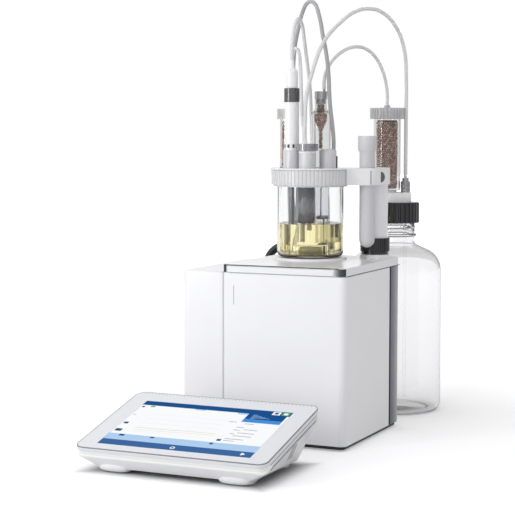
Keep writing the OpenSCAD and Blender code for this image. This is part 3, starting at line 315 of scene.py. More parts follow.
FINISH = {
    "main_housing": shell, "top_plate": lid_white, "pump_housing": shell, "stir_plate": shell,
    "terminal_base": shell, "terminal_bezel": bezel, "rear_cover": cover,
    "status_window": window, "base_plate": black, "rubber_feet": feet, "housing_screws": steel,
    "pump_ports": black, "pump_motor": motor_steel, "pump_head": pump_metal,
    "pump_eccentric": steel, "motor_bracket": pump_metal, "stirrer_motor": motor_steel,
    "magnet_rotor": magnet, "main_board": board, "terminal_board": board,
    "rear_sockets": black, "cable_plugs": cap_black, "stand_column": column_grey,
    # The clamp screw takes the dark ring metal: painted shade of the recess it sits in
    "column_nut": cap_black, "head_arm": arm_grey, "clamp_screw": ring_dark,
    "vessel_ring": ring_grey, "cell_head": head_grey, "head_gasket": rubber,
    "vessel": cell_glass, "cell_solution": amber, "stir_bar": ptfe,
    "sensor_electrode": electrode, "platinum_pins": platinum, "sensor_ring": ring_dark,
    "sensor_plug": plug_white, "port_fitting": ptfe, "port_nut": nut_dark,
    "inlet_tubes": tube_clear, "generator_glass": joint_glass_painted_shade, "generator_cap": cap_grey,
    "drying_tube": glass, "drying_cap": cap_clear, "storage_tube": tube_grey,
    "waste_bottle": bottle_glass, "bottle_cap": cap_black, "bottle_insert": insert_painted_light,
    "bottle_drying_tube": glass, "bottle_drying_cap": cap_clear, "tube_fitting": fitting_grey,
    "dip_tube": tube_thin, "display": pane, "light_strip": glow,
}
for node, look in FINISH.items():
    for place in NODES[node].material_slots:
        place.material = look


# ---------------------------------------------------------------- mesh helpers
def piece(name, verts, faces, materials, picks=None, smooth=False):
    """New piece on the housing. picks says which of the materials each face has."""
    me = bpy.data.meshes.new(name)
    me.from_pydata([tuple(v) for v in verts], [], faces)
    for m in materials:
        me.materials.append(m)
    if picks:
        me.polygons.foreach_set("material_index", picks)
    if smooth:
        me.polygons.foreach_set("use_smooth", [True] * len(me.polygons))
    me.update()
    o = bpy.data.objects.new(name, me)
    bpy.context.scene.collection.objects.link(o)
    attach(o, ROOT)
    return o


BOX_FACES = ((3, 2, 1, 0), (4, 5, 6, 7), (0, 1, 5, 4), (1, 2, 6, 5), (2, 3, 7, 6), (3, 0, 4, 7))


def boxes(name, spans, look):
    """Joined thin boxes, each given by two corners in housing measures."""
    vs, fs = [], []
    for (x0, y0, z0), (x1, y1, z1) in spans:
        n = len(vs)
        vs += [at(x, y, z) for z in (z0, z1) for x, y in ((x0, y0), (x1, y0), (x1, y1), (x0, y1))]
        fs += [tuple(n + i for i in f) for f in BOX_FACES]
    piece(name, vs, fs, [look])


def post(name, outline, z0, z1, look):
    """Upright moulding with the given outline, anticlockwise from above."""
    m = len(outline)
    vs = [at(x, y, z) for z in (z0, z1) for x, y in outline]
    fs = [tuple(range(m - 1, -1, -1)), tuple(range(m, 2 * m))]
    fs += [(k, (k + 1) % m, m + (k + 1) % m, m + k) for k in range(m)]
    piece(name, vs, fs, [look])


def round_axis(centre, r, a, z):
    """Point at radius r, angle a and height z, in millimetres, on an upright axis."""
    return Vector((centre.x + r * MM * math.cos(a), centre.y + r * MM * math.sin(a), z * MM))


def ring(profile, centre, sides=64):
    """Closed ring with the given (radius, level) section."""
    vs, fs = [], []
    m = len(profile)
    for k in range(sides):
        vs += [round_axis(centre, r, 2 * math.pi * k / sides, z) for r, z in profile]
    for k in range(sides):
        for j in range(m):
            a, b = k * m + j, (k + 1) % sides * m + j
            c, d = k * m + (j + 1) % m, (k + 1) % sides * m + (j + 1) % m
            fs.append((a, b, d, c))
    return vs, fs


def soften(node, width, segments=2, angle=50):
    """Rounded edges on a CAD solid, by modifiers: its split faces are joined first."""
    o = NODES[node]
    weld = o.modifiers.new("join", "WELD")
    weld.merge_threshold = 0.00002
    bevel = o.modifiers.new("edge", "BEVEL")
    bevel.width = width * MM
    bevel.segments = segments
    bevel.limit_method = "ANGLE"
    bevel.angle_limit = math.radians(angle)
    bevel.harden_normals = True


# ---------------------------------------------------------------- cords
def cord(name, node, points, diameter, look):
    """Tube along points in housing measures, in place of a CAD node."""
    cu = bpy.data.curves.new(name, "CURVE")
    cu.dimensions = "3D"
    cu.bevel_depth = diameter / 2 * MM
    cu.bevel_resolution = 4
    cu.resolution_u = 6
    cu.use_fill_caps = True
    sp = cu.splines.new("BEZIER")
    sp.bezier_points.add(len(points) - 1)
    for b, p in zip(sp.bezier_points, points):
        b.co = at(*p)
        b.handle_left_type = b.handle_right_type = "AUTO"
    cu.materials.append(look)
    o = bpy.data.objects.new(name, cu)
    bpy.context.scene.collection.objects.link(o)
    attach(o, ROOT)
    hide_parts(node)


cord("waste_hose", "waste_tube", [
    [-76, 78.2, 300.6], [-76, 78.2, 309], [-76.1, 79, 324], [-76.2, 82, 345], [-74, 91, 369],
    [-69, 109, 401], [-61, 137, 424], [-53, 166, 438], [-47, 185, 441], [-41, 206, 439],
    [-34, 232, 425], [-29.5, 248, 401], [-28.5, 253, 367], [-28.4, 253, 330], [-28.4, 252.7, 280],
    [-28.4, 252.7, 259]], 4, tube_clear)
cord("vent_hose", "vent_tube", [
    [-71.5, 118.7, 354.2], [-71.5, 118.7, 362], [-71.1, 123.5, 372.9], [-69.8, 131.7, 381.7],
    [-67.9, 141.3, 388.5], [-65.9, 151.9, 393.7], [-64, 163, 397.7], [-61.6, 174.4, 400.2],
    [-59, 186, 401], [-56.6, 197.6, 399.9], [-54.4, 208.9, 396.6], [-52.4, 219.4, 391.2],
    [-50.5, 228.4, 383.6], [-48.9, 235.6, 374.2], [-47.9, 241, 363.5], [-47.4, 243.9, 352],
    [-47.4, 243.9, 339.4]], 3.6, tube_clear)
cord("sensor_lead", "sensor_cable", [
    [-94.4, 87, 383.4], [-94.4, 87, 394], [-94.8, 91, 409], [-95.6, 99, 422], [-96.8, 110, 427],
    [-97.8, 121, 422], [-98.6, 129, 407], [-98.6, 135, 389], [-98, 142, 363], [-99, 149, 333],
    [-101, 157, 290], [-105, 166, 247], [-107, 175, 210], [-104, 184, 180], [-98, 191, 155],
    [-95, 193, 132], [-95, 189.5, 121.5], [-95, 181, 118], [-95, 174, 118]],
    3.8, cable_light)
cord("generator_lead", "generator_cable", [
    [-59.6, 116, 290.5], [-59.6, 116, 301], [-60.4, 114, 318], [-62, 113, 333], [-64.2, 115, 350],
    [-66.5, 118, 371], [-70, 120, 392], [-75, 123, 410], [-81, 128, 430], [-90, 135, 445],
    [-101, 143, 446], [-110, 150, 436], [-117, 156, 420], [-123, 161, 402], [-127, 166, 380],
    [-131, 172, 340], [-134, 178, 290], [-134, 182, 240], [-132, 186, 195], [-128, 191, 160],
    [-119, 193, 138], [-115.4, 189.5, 123], [-115, 181, 118], [-115, 174, 118]],
    4.2, cable_dark)
cord("supply_hose", "supply_tube", [
    [-79, 83.5, 300.6], [-79, 83.5, 309], [-81, 83.5, 324], [-82.5, 84, 347], [-84.8, 88, 367],
    [-88.5, 95, 380], [-94.7, 106, 392], [-104, 119, 397], [-112, 131, 392], [-119, 142, 375],
    [-126, 153, 338], [-132, 163, 290], [-138, 173, 240], [-142, 181, 200], [-144, 184, 175],
    [-144, 180, 156], [-143.6, 171, 147], [-143.6, 163, 147]],
    3.6, tube_clear)
cord("pump_hose", "link_hose", [
    [-165.6, 163, 147], [-165.6, 170, 147], [-166.8, 178, 149], [-169.3, 186, 154],
    [-171, 192.5, 161.5], [-170.6, 197.5, 169.5], [-166.5, 201.5, 177], [-159, 204, 182],
    [-149, 205.5, 184.5], [-138.5, 206.5, 183.6], [-128.5, 206.5, 179], [-120, 204, 171.5],
    [-114.6, 197.8, 162.5], [-112.4, 188.5, 155], [-112, 178, 150.8], [-112, 170, 150],
    [-112, 162, 150]], 9, hose_black)

# ---------------------------------------------------------------- display picture
TILT = math.radians(14)
PANE_T = 1.5 * MM
SLOPE = Vector((0, math.cos(TILT), math.sin(TILT)))
FACE = Vector((0, -math.sin(TILT), math.cos(TILT)))
low_s, high_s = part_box("display")
screen_corner = Vector((low_s.x, low_s.y, low_s.z + PANE_T * math.cos(TILT)))
screen_w = high_s.x - low_s.x
screen_l = (high_s.z - screen_corner.z) / math.sin(TILT)


def on_screen(u, v, lift):
    """Point at shares u and v of the screen's width and length, lifted in millimetres."""
    front = screen_corner + Vector((u * screen_w, 0, 0))
    return front + SLOPE * (v * screen_l) + FACE * lift * MM


PALETTE = {
    "white": (0.97, 0.98, 1.0), "navy": (0.012, 0.085, 0.28), "blue": (0.06, 0.28, 0.72),
    "pale": (0.45, 0.64, 0.89), "slate": (0.05, 0.14, 0.35), "green": (0.10, 0.42, 0.12),
    "ink": (0.05, 0.09, 0.19), "grey": (0.40, 0.42, 0.44), "line_green": (0.62, 0.78, 0.52),
    "line_orange": (0.88, 0.70, 0.52), "line_grey": (0.74, 0.76, 0.78),
}
KEYS = list(PALETTE)
SCREEN_BASE = 0.25
SCREEN_LIGHT = 0.72
inks = [material("screen_" + key, [c * SCREEN_BASE for c in rgb], 0.35,
                 Emission_Color=(*rgb, 1), Emission_Strength=SCREEN_LIGHT, Specular_IOR_Level=0.0)
        for key, rgb in PALETTE.items()]
# Fields of the generic user interface: u0, v0, u1, v1, colour, layer
fields = [
    (0.0, 0.0, 1.0, 1.0, "white", 0), (0.0, 0.905, 1.0, 1.0, "navy", 1),
    (0.735, 0.79, 0.985, 0.915, "navy", 1), (0.735, 0.715, 0.985, 0.79, "blue", 1),
    (0.0, 0.112, 1.0, 0.238, "pale", 1), (0.0, 0.0, 1.0, 0.112, "slate", 1),
    (0.372, 0.882, 0.442, 0.905, "pale", 1), (0.664, 0.872, 0.735, 0.905, "pale", 1),
    (0.878, 0.918, 0.93, 0.99, "white", 2), (0.94, 0.918, 0.99, 0.99, "green", 2),
    (0.892, 0.935, 0.916, 0.975, "navy", 3), (0.952, 0.935, 0.978, 0.975, "white", 3),
    (0.066, 0.866, 0.097, 0.895, "green", 2), (0.012, 0.845, 0.03, 0.875, "ink", 2),
    (0.012, 0.655, 0.035, 0.685, "line_grey", 2), (0.014, 0.46, 0.045, 0.50, "ink", 2),
    (0.012, 0.29, 0.055, 0.345, "ink", 2), (0.075, 0.195, 0.11, 0.232, "navy", 2),
    (0.285, 0.2, 0.312, 0.228, "ink", 2), (0.68, 0.19, 0.702, 0.228, "slate", 2),
    (0.70, 0.275, 0.728, 0.315, "navy", 2), (0.925, 0.035, 0.937, 0.082, "white", 2),
    (0.937, 0.047, 0.949, 0.07, "white", 2),
]
# Pale bars on the navy field
for k in range(5):
    fields.append((0.77, 0.80 + k * 0.02, 0.80 + 0.03 * (k * 7 % 4), 0.806 + k * 0.02, "pale", 2))
# Grey bars where a list would have its words: u, v, width
BAR_L = 0.012
for u, v, w in (
        (0.662, 0.692, 0.05), (0.77, 0.672, 0.06), (0.74, 0.585, 0.05), (0.80, 0.545, 0.09),
        (0.74, 0.525, 0.04), (0.78, 0.468, 0.11), (0.74, 0.44, 0.03), (0.77, 0.402, 0.12),
        (0.74, 0.33, 0.12), (0.74, 0.29, 0.07)):
    fields.append((u, v, u + w, v + BAR_L, "grey", 2))
# Faint grid and two plotted lines of the chart
CHART_LEFT, CHART_RIGHT = 0.12, 0.66
CHART_STEPS, CHART_STEP = 24, 0.0225
for v in (0.31, 0.41, 0.51, 0.61, 0.71):
    fields.append((CHART_LEFT, v, CHART_RIGHT, v + 0.003, "line_grey", 1.5))
for line, level, sway in (("line_green", 0.40, 0.02), ("line_orange", 0.36, 0.03)):
    for k in range(CHART_STEPS):
        u = CHART_LEFT + k * CHART_STEP
        v = level + sway * math.tanh((k - CHART_STEPS / 2) / 5) * 0.4
        fields.append((u, v, u + CHART_STEP, v + 0.008, line, 2))
LAYER_LIFT, LAYER_STEP = 0.03, 0.012
verts, faces, picks = [], [], []
for u0, v0, u1, v1, key, layer in fields:
    n = len(verts)
    lift = LAYER_LIFT + LAYER_STEP * layer
    verts += [on_screen(u, v, lift) for u, v in ((u0, v0), (u1, v0), (u1, v1), (u0, v1))]
    faces.append((n, n + 1, n + 2, n + 3))
    picks.append(KEYS.index(key))
# Ring icon in the bottom bar, in the palette's white
ICON_SIDES, ICON_U, ICON_V, ICON_LIFT = 16, 0.488, 0.05, 0.06
WIDTH_TO_LENGTH = 1.57
n = len(verts)
for k in range(ICON_SIDES):
    a = 2 * math.pi * k / ICON_SIDES
    for r in (0.016, 0.009):
        v = ICON_V + r * math.sin(a) * WIDTH_TO_LENGTH
        verts.append(on_screen(ICON_U + r * math.cos(a), v, ICON_LIFT))
for k in range(ICON_SIDES):
    a, b = n + 2 * k, n + 2 * ((k + 1) % ICON_SIDES)
    faces.append((a, b, b + 1, a + 1))
    picks.append(KEYS.index("white"))
piece("screen_picture", verts, faces, inks, picks)

# ---------------------------------------------------------------- terminal trim
PANEL_L, PANEL_R = 128.6, 9.0
SCREEN_FROM_FRONT = 11
low_b, high_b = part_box("terminal_bezel")
panel_w = (high_b.x - low_b.x) / MM
panel_front = on_screen(0, 0, 0.1) - SLOPE * SCREEN_FROM_FRONT * MM


def on_panel(x, y, lift=0.0):
    """Point on the sloping panel, in millimetres from its left front corner."""
    edge = Vector((low_b.x + x * MM, panel_front.y, panel_front.z))
    return edge + SLOPE * y * MM + FACE * lift * MM


# Row of small holes along the panel's rear edge, drawn as dark discs: painted shade in the holes
HOLES, HOLE_SIDES, HOLE_R = 46, 8, 0.55
HOLE_ROW, HOLE_MARGIN = 125.6, 8
verts, faces = [], []
for k in range(HOLES):
    x = HOLE_MARGIN + (panel_w - 2 * HOLE_MARGIN) * k / (HOLES - 1)
    n = len(verts)
    for j in range(HOLE_SIDES):
        a = 2 * math.pi * j / HOLE_SIDES
        verts.append(on_panel(x + HOLE_R * math.cos(a), HOLE_ROW + HOLE_R * math.sin(a), 0.04))
    faces.append(tuple(range(n, n + HOLE_SIDES)))
piece("speaker_holes", verts, faces, [hole_shade])

# Thin dark seal round the panel's edge, as (radius at the corners, lift) rows
SEAL_ROWS = ((PANEL_R - 0.75, 0.02), (PANEL_R - 0.55, 0.09), (PANEL_R - 0.15, 0.09),
             (PANEL_R + 0.06, -0.25), (PANEL_R + 0.06, -0.8))
SEAL_STEPS = 8
left, right, front, rear = PANEL_R, panel_w - PANEL_R, PANEL_R, PANEL_L - PANEL_R
verts, faces = [], []
for cx, cy, a0 in ((right, front, -90), (right, rear, 0), (left, rear, 90), (left, front, 180)):
    for k in range(SEAL_STEPS + 1):
        a = math.radians(a0 + 90 * k / SEAL_STEPS)
        for r, lift in SEAL_ROWS:
            verts.append(on_panel(cx + r * math.cos(a), cy + r * math.sin(a), lift))
m = len(SEAL_ROWS)
around = len(verts) // m
for k in range(around):
    for j in range(m - 1):
        a, b = k * m + j, (k + 1) % around * m + j
        faces.append((a, a + 1, b + 1, b))
piece("panel_seal", verts, faces, [seal], smooth=True)


# ---------------------------------------------------------------- bead fillings
def ball():
    """Points and faces of a coarse ball of radius 1."""
    bm = bmesh.new()
    bmesh.ops.create_icosphere(bm, subdivisions=1, radius=1.0)
    vs = [v.co.copy() for v in bm.verts]
    fs = [tuple(v.index for v in f.verts) for f in bm.faces]
    bm.free()
    return vs, fs


BALL_V, BALL_F = ball()
BEAD_COLOURS = ((0.66, 0.46, 0.39), (0.80, 0.62, 0.55), (0.46, 0.30, 0.25), (0.92, 0.80, 0.74),
                (0.70, 0.51, 0.44))
BEAD_SHARES = (0, 0, 1, 1, 2, 2, 3, 4)  # the first three colours come twice as often
CORE = len(BEAD_COLOURS)
CORE_SIDES = 24
bead_mats = [grained("bead_%d" % i, c, (0.45, 0.6), 0.06, 900, 0.1)
             for i, c in enumerate(BEAD_COLOURS)]
# The core behind the beads is darker than they are: painted shade in the gaps between beads
bead_mats.append(grained("bead_core", (0.36, 0.25, 0.21), (0.7, 0.85), 0.2, 600, 0.4))


def radius_at(profile, z):
    """Radius of a rising (radius, level) profile at one level."""
    for (r0, z0), (r1, z1) in zip(profile, profile[1:]):
        if z0 <= z <= z1:
            return r0 + (r1 - r0) * (z - z0) / (z1 - z0) if z1 > z0 else r1


def packed(verts, faces, picks, centre, profile, bead, rnd):
    """Beads of one diameter in staggered rows on a turned core.

    profile is rising (radius, level) pairs in millimetres.
    """
    n = len(verts)
    for r, z in profile:
        core_r = max(0.2, r - bead * 0.62)
        for k in range(CORE_SIDES):
            verts.append(round_axis(centre, core_r, 2 * math.pi * k / CORE_SIDES, z))
    for j in range(len(profile) - 1):
        for k in range(CORE_SIDES):
            a, b = n + j * CORE_SIDES + k, n + j * CORE_SIDES + (k + 1) % CORE_SIDES
            faces.append((a, b, b + CORE_SIDES, a + CORE_SIDES))
            picks.append(CORE)
    last = n + (len(profile) - 1) * CORE_SIDES
    faces.append(tuple(range(n + CORE_SIDES - 1, n - 1, -1)))
    faces.append(tuple(range(last, last + CORE_SIDES)))
    picks.extend((CORE, CORE))
    z = profile[0][1] + bead / 2
    row = 0
    while z < profile[-1][1] - bead / 2:
        track = max(0.0, radius_at(profile, z) - bead / 2)
        around = max(1, int(2 * math.pi * track / (bead * 1.02)))
        for k in range(around):
            a = 2 * math.pi * (k + 0.5 * (row % 2) + rnd.uniform(-0.16, 0.16)) / around
            r = bead / 2 * rnd.uniform(0.88, 1.0)
            off = track - rnd.uniform(0, 0.25) * bead
            c = round_axis(centre, off, a, z + rnd.uniform(-0.2, 0.2))
            angle = rnd.uniform(0, 3)
            axis = Vector((rnd.uniform(-1, 1), 1, rnd.uniform(-1, 1))).normalized()
            turn = Matrix.Rotation(angle, 3, axis)
            n = len(verts)
            verts.extend(c + (turn @ v) * r * MM for v in BALL_V)
            faces.extend(tuple(i + n for i in f) for f in BALL_F)
            picks.extend([rnd.choice(BEAD_SHARES)] * len(BALL_F))
        z += bead * 0.86
        row += 1


rnd = random.Random(7)
verts, faces, picks = [], [], []
shoulder = top("generator_glass") - 11
packed(verts, faces, picks, middle("generator_glass"), [
    (2.6, top("head_arm") + 19.6), (2.6, shoulder - 24), (3.4, shoulder - 19),
    (7.1, shoulder - 11), (7.3, shoulder - 4), (4.7, shoulder - 1.2),
    (4.7, bottom("generator_cap") - 0.3)], 2.1, rnd)
packed(verts, faces, picks, middle("drying_cap"), [
    (7.1, top("head_arm") + 1.5), (7.1, top("drying_tube") - 9.4)], 2.2, rnd)
packed(verts, faces, picks, middle("bottle_drying_cap"), [
    (12.4, bottom("bottle_drying_tube") + 1.9), (12.4, top("bottle_drying_tube") - 10)], 2.5, rnd)
beads = piece("sieve_beads", verts, faces, bead_mats, picks, smooth=True)
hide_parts("sieve_fill")

# ---------------------------------------------------------------- bottle neck
NECK_R = 20.5
bottle = middle("waste_bottle")
cap_low = bottom("bottle_cap")
vs, fs = ring([
    (NECK_R - 0.2, cap_low - 15.5), (NECK_R + 1.6, cap_low - 15), (NECK_R + 1.9, cap_low - 13.6),
    (NECK_R + 1.4, cap_low - 12.4), (NECK_R - 0.2, cap_low - 12)], bottle)
piece("bottle_collar", vs, fs, [bottle_glass], smooth=True)

# Thread that fades in and out over six steps at its ends
THREAD_TURNS, THREAD_STEPS, THREAD_FADE = 1.6, 40, 6
THREAD_PITCH, THREAD_DROP = 4.2, 9.5
THREAD_SECTION = ((-0.1, -1.1), (1.0, -0.4), (1.0, 0.4), (-0.1, 1.1))
thread_end = THREAD_TURNS * THREAD_STEPS
verts, faces = [], []
for k in range(int(thread_end) + 1):
    a = 2 * math.pi * k / THREAD_STEPS
    z = cap_low - THREAD_DROP + THREAD_PITCH * k / THREAD_STEPS
    fade = max(min(1, k / THREAD_FADE, (thread_end - k) / THREAD_FADE), 0.05)
    verts += [round_axis(bottle, NECK_R + dr * fade, a, z + dz) for dr, dz in THREAD_SECTION]
for k in range(int(thread_end)):
    for j in range(4):
        a, b = 4 * k + j, 4 * k + (j + 1) % 4
        faces.append((a, b, b + 4, a + 4))
piece("bottle_thread", verts, faces, [bottle_glass], smooth=True)

# ---------------------------------------------------------------- seams and small trim
lid_low, lid_high = bottom("top_plate"), top("top_plate")
pump_end = across(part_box("pump_housing")[1].x)
main_end = across(low_h.x)
# The front corners between the two covers, filled up to one narrow seam
FILL = 7.4  # how far the filling reaches from the corner
PROUD = 0.03  # how far it stands in front of the covers
FILL_LOW = 5.2
FILL_R = 2.6
post("pump_corner", [
    (pump_end - FILL, -PROUD), (pump_end - 0.5, -PROUD), (pump_end - 0.02, 0.45),
    (pump_end - 0.02, FILL)], FILL_LOW, lid_low - 0.6, shell)
boxes("corner_seam", [((pump_end - 0.02, 0.8, FILL_LOW), (main_end, FILL, lid_low - 0.4))],
      shell)
TURN_STEPS = 6
turn_x, turn_y = main_end + FILL_R, FILL_R - PROUD
turn_in = []
for k in range(TURN_STEPS, -1, -1):
    a = math.pi / 2 * k / TURN_STEPS
    turn_in.append((turn_x - FILL_R * math.sin(a), turn_y - FILL_R * math.cos(a)))
post("main_corner", [(main_end, FILL)] + turn_in + [(main_end + FILL, -PROUD)],
     FILL_LOW, lid_low - 0.3, shell)
# Dark pieces at the lid's left front end, along its top front edge and along its right lower
# edge: painted shade in the joints' gaps
post("lid_corner_shade", [(main_end, FILL)] + turn_in[:4] + [
    (main_end + 2.9, -0.12), (main_end + 2.9, FILL)],
    lid_low + 0.1, lid_high - 0.4, seam)
boxes("lid_seam_shade", [((main_end + 2.0, -0.14, lid_high - 1.0), (-7, 0.3, lid_high - 0.15)),
                    ((-0.4, 6, lid_low - 0.35), (0.1, 155, lid_low + 0.25))],
      seam)
boxes("lid_joint", [((main_end + 2.9, -0.05, lid_low - 0.3), (-7, 0.3, lid_low + 0.3))],
      trim)
boxes("window_fade", [((-14, -0.06, lid_low + 0.6), (-9.7, 0.3, lid_high - 1.0))],
      window)
boxes("front_mark", [((main_end + 11.6, -0.05, 139), (main_end + 12.3, 0.3, 158))],
      trim)

# Two fine joints along the terminal's right side, parallel to the panel
JOINT_YS = (-168, -140, -112, -84, -64)
JOINT_RISE, JOINT_W = 0.2493, 0.75
joint_x = across(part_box("terminal_base")[1].x) + 0.04
vs, fs = [], []
for drop in (0.0, 4.6):
    n = len(vs)
    for y in JOINT_YS:
        z = 24.4 + JOINT_RISE * (y + 156.1) - drop
        vs += [at(joint_x, y, z), at(joint_x, y, z - JOINT_W)]
    for a in range(n, len(vs) - 2, 2):
        fs.append((a, a + 1, a + 3, a + 2))
piece("terminal_joints", vs, fs, [seal])

# Dark sheets just inside the four slots of the terminal's slanted right side: painted shade in
# the slots
SLOTS, SLOT_FIRST, SLOT_STEP = 4, -114, 4
SLOT_LOW, SLOT_HIGH = 14, 28
vs, fs = [], []
for k in range(SLOTS):
    y0, y1 = SLOT_STEP * k + SLOT_FIRST - 1, SLOT_STEP * k + SLOT_FIRST + 1
    n = len(vs)
    for y, z in ((y0, SLOT_LOW), (y1, SLOT_LOW), (y1, SLOT_HIGH), (y0, SLOT_HIGH)):
        vs.append(at(-12.4 - 0.1127 * (y + 108) + 0.453 * (z - 12), y, z))
    fs.append((n, n + 1, n + 2, n + 3))
piece("slot_painted_shade", vs, fs, [hole_shade])


def fuller(value, power):
    """A sine or cosine raised to a power, with its sign kept."""
    return math.copysign(abs(value) ** power, value)


# Rounded white lumps that carry the terminal's front edge
PAD_XS, PAD_Y, PAD_Z = (-159.5, -37.5), -161, 5.8
HALF_W, HALF_L, HALF_H = 17, 12, 5.6
PAD_RINGS, PAD_SIDES = 12, 24
vs, fs = [], []
for x in PAD_XS:
    n = len(vs)
    for i in range(PAD_RINGS + 1):
        e = math.pi * (i / PAD_RINGS - 0.5)
        wide = math.cos(e) ** 0.6
        for k in range(PAD_SIDES):
            a = 2 * math.pi * k / PAD_SIDES
            vs.append(at(x + HALF_W * wide * fuller(math.cos(a), 0.6),
                         PAD_Y + HALF_L * wide * fuller(math.sin(a), 0.6),
                         PAD_Z + HALF_H * fuller(math.sin(e), 0.7)))
    for i in range(PAD_RINGS):
        for k in range(PAD_SIDES):
            p, q = n + i * PAD_SIDES + k, n + i * PAD_SIDES + (k + 1) % PAD_SIDES
            fs.append((p, q, q + PAD_SIDES, p + PAD_SIDES))
piece("terminal_pads", vs, fs, [feet], smooth=True)

# Upright joint line on the arm beside the clamp
spot, along, outward = Vector((-14.7, 107)), Vector((0.75, 0.66)), Vector((0.66, -0.75))
post("arm_joint", [
    tuple(spot + along * u + outward * v)
    for u, v in ((-0.45, -0.4), (-0.45, 0.06), (0.45, 0.06), (0.45, -0.4))],
    256.5, 270.5, seal)

# Ground-joint sleeve of the sample port, below the head
SLEEVE_R, SLEEVE_HOLE_R = 8.6, 7.6
sleeve_low, sleeve_high = LIQUID_Z / MM + 1, HEAD_Z / MM - 20
vs, fs = ring([(SLEEVE_R, sleeve_low), (SLEEVE_R, sleeve_high), (SLEEVE_HOLE_R, sleeve_high),
               (SLEEVE_HOLE_R, sleeve_low)], middle("inlet_tubes"), 40)
piece("port_sleeve", vs, fs, [sleeve_grey], smooth=True)

# Dark notches where the sensor stands in its seat
NOTCHES, NOTCH_R, NOTCH_HALF = 10, 8.08, 0.13
NOTCH_ENDS = (293.6, 297.4)
seat = middle("sensor_electrode")
vs, fs = [], []
for k in range(NOTCHES):
    a = 2 * math.pi * (k + 0.5) / NOTCHES
    n = len(vs)
    for z in NOTCH_ENDS:
        vs += [round_axis(seat, NOTCH_R, a + turn, z) for turn in (-NOTCH_HALF, NOTCH_HALF)]
    fs.append((n, n + 1, n + 3, n + 2))
piece("sensor_notches", vs, fs, [seam])

# ---------------------------------------------------------------- edges
for node, width in (("top_plate", 0.8), ("main_housing", 0.5), ("pump_housing", 1.2),
                    ("head_arm", 0.5), ("terminal_bezel", 0.5), ("base_plate", 0.6),
                    ("rear_cover", 0.5), ("waste_bottle", 0.3), ("vessel", 0.3),
                    ("storage_tube", 0.4), ("cell_head", 0.4)):
    soften(node, width)

# ---------------------------------------------------------------- floor
FLOOR_HALF = 9
floor_me = bpy.data.meshes.new("floor")
floor_me.from_pydata([(x * FLOOR_HALF, y * FLOOR_HALF, 0)
                      for x, y in ((-1, -1), (1, -1), (1, 1), (-1, 1))], [], [(0, 1, 2, 3)])
floor = bpy.data.objects.new("floor", floor_me)
bpy.context.scene.collection.objects.link(floor)
floor_white = bpy.data.materials.new("floor_white")
floor_white.use_nodes = True
tree = floor_white.node_tree
tree.nodes.clear()
out = tree.nodes.new("ShaderNodeOutputMaterial")
diffuse = tree.nodes.new("ShaderNodeBsdfDiffuse")
lift = tree.nodes.new("ShaderNodeEmission")
both = tree.nodes.new("ShaderNodeAddShader")
path = tree.nodes.new("ShaderNodeLightPath")
coords = tree.nodes.new("ShaderNodeTexCoord").outputs["Object"]


def sum_step(operation, first, second, third=None):
    n = tree.nodes.new("ShaderNodeMath")
    n.operation = operation
    for k, link in enumerate((first, second, third)):
        if link is not None:
            tree.links.new(link, n.inputs[k])
    return n.outputs[0]


def vector_step(operation, first, second=None):
    n = tree.nodes.new("ShaderNodeVectorMath")
    n.operation = operation
    tree.links.new(first, n.inputs[0])
    if second is not None:
        n.inputs[1].default_value = second
    return n.outputs["Value" if operation == "LENGTH" else "Vector"]


# The floor fades to white away from the object, seen directly or through glass
FADE_FROM, FADE_TO, GLASS_FADE_TO = 0.28, 1.3, 1.6
away = vector_step("LENGTH", coords)
direct = sum_step("MULTIPLY", path.outputs["Is Camera Ray"],
                  span(tree, away, FADE_FROM, FADE_TO, 0.31, 1.0))
lifted = sum_step("MULTIPLY_ADD", path.outputs["Is Transmission Ray"],
                  span(tree, away, FADE_FROM, GLASS_FADE_TO, 0.26, 0.44), direct)
# and carries a painted shadow below the terminal: its colour is painted darker there and its lift
# is taken away
SHADOW_INSET = Vector((0.008, 0.006, 0))
SHADOW_GREY, FLOOR_GREY = (0.42, 0.42, 0.43), (0.80, 0.80, 0.81)
low_t, high_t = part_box("terminal_base")
off = vector_step("ABSOLUTE", vector_step("SUBTRACT", coords, (low_t + high_t) / 2))
axes = tree.nodes.new("ShaderNodeSeparateXYZ")
tree.links.new(vector_step("SUBTRACT", off, (high_t - low_t) / 2 - SHADOW_INSET), axes.inputs[0])
outside_painted_shadow = span(tree, sum_step("MAXIMUM", axes.outputs["X"], axes.outputs["Y"]), -0.01, 0.016,
                kind="SMOOTHSTEP")
tree.links.new(blend(tree, outside_painted_shadow, SHADOW_GREY, FLOOR_GREY), diffuse.inputs["Color"])
tree.links.new(sum_step("MULTIPLY", lifted, outside_painted_shadow), lift.inputs["Strength"])
tree.links.new(diffuse.outputs[0], both.inputs[0])
tree.links.new(lift.outputs[0], both.inputs[1])
tree.links.new(both.outputs[0], out.inputs["Surface"])
floor_me.materials.append(floor_white)

# ---------------------------------------------------------------- world
world = bpy.data.worlds.new("studio")
bpy.context.scene.world = world
world.use_nodes = True
tree = world.node_tree
tree.nodes.clear()
out = tree.nodes.new("ShaderNodeOutputWorld")
path = tree.nodes.new("ShaderNodeLightPath")
split = tree.nodes.new("ShaderNodeSeparateXYZ")
coords = tree.nodes.new("ShaderNodeTexCoord").outputs["Generated"]
tree.links.new(coords, split.inputs[0])


def background(strength=None, colour=None):
    n = tree.nodes.new("ShaderNodeBackground")
    if strength is not None:
        tree.links.new(strength, n.inputs["Strength"])
    if colour is not None:
        tree.links.new(colour, n.inputs["Color"])
    return n


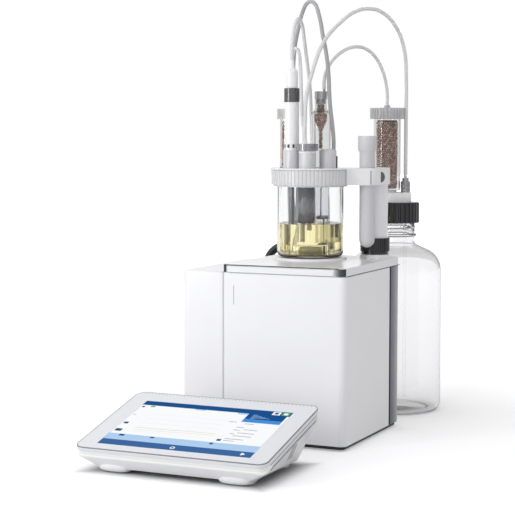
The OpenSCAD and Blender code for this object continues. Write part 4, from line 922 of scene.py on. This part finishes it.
def switch(ray, otherwise, chosen):
    n = tree.nodes.new("ShaderNodeMixShader")
    tree.links.new(path.outputs[ray], n.inputs[0])
    tree.links.new(otherwise, n.inputs[1])
    tree.links.new(chosen, n.inputs[2])
    return n.outputs[0]


# White to the camera, and an even light that is a little stronger from the right
seen = background()
seen.inputs["Color"].default_value = (1, 1, 1, 1)
light = background(span(tree, split.outputs["X"], -0.9, 0.9, 0.86, 0.93))
# Mirrored surroundings: a bright side on the left, dark flags in front and on the far right
FLAGS = ((0.0, 0.75), (0.14, 1.0), (0.33, 1.0), (0.40, 0.22), (0.58, 0.16), (0.70, 0.60),
         (0.84, 0.70), (0.93, 0.2))
flags = ramp(tree, span(tree, split.outputs["X"], -1, 1),
             [(place, (level, level, level)) for place, level in FLAGS])
mirrored = background(colour=flags)
mirrored.inputs["Strength"].default_value = 1.15
# Seen through glass: white behind the object, grey towards the sides
toward = tree.nodes.new("ShaderNodeVectorMath")
toward.operation = "DOT_PRODUCT"
toward.inputs[1].default_value = camera.rotation_euler.to_matrix() @ Vector((0, 0, -1))
tree.links.new(coords, toward.inputs[0])
through = background(span(tree, toward.outputs["Value"], 0.55, 0.93, 0.35, 0.93))
chosen = switch("Is Glossy Ray", light.outputs[0], mirrored.outputs[0])
chosen = switch("Is Transmission Ray", chosen, through.outputs[0])
tree.links.new(switch("Is Camera Ray", chosen, seen.outputs[0]), out.inputs["Surface"])


# ---------------------------------------------------------------- lamps
def lamp(name, place, target, width, height, power):
    data = bpy.data.lights.new(name, "AREA")
    data.shape = "RECTANGLE"
    data.size = width
    data.size_y = height
    data.energy = power
    o = bpy.data.objects.new(name, data)
    o.location = place
    o.rotation_euler = (Vector(target) - Vector(place)).to_track_quat("-Z", "Y").to_euler()
    bpy.context.scene.collection.objects.link(o)


lamp("key", (-0.3, -2.2, 1.6), (0, 0, 0.15), 1.3, 1.3, 8.5)
lamp("top", (0.1, 0.2, 2.2), (0, 0, 0.1), 1.6, 1.6, 3.5)
lamp("strip", (-0.85, -1.35, 0.6), (0, 0, 0.35), 0.3, 1.4, 9)
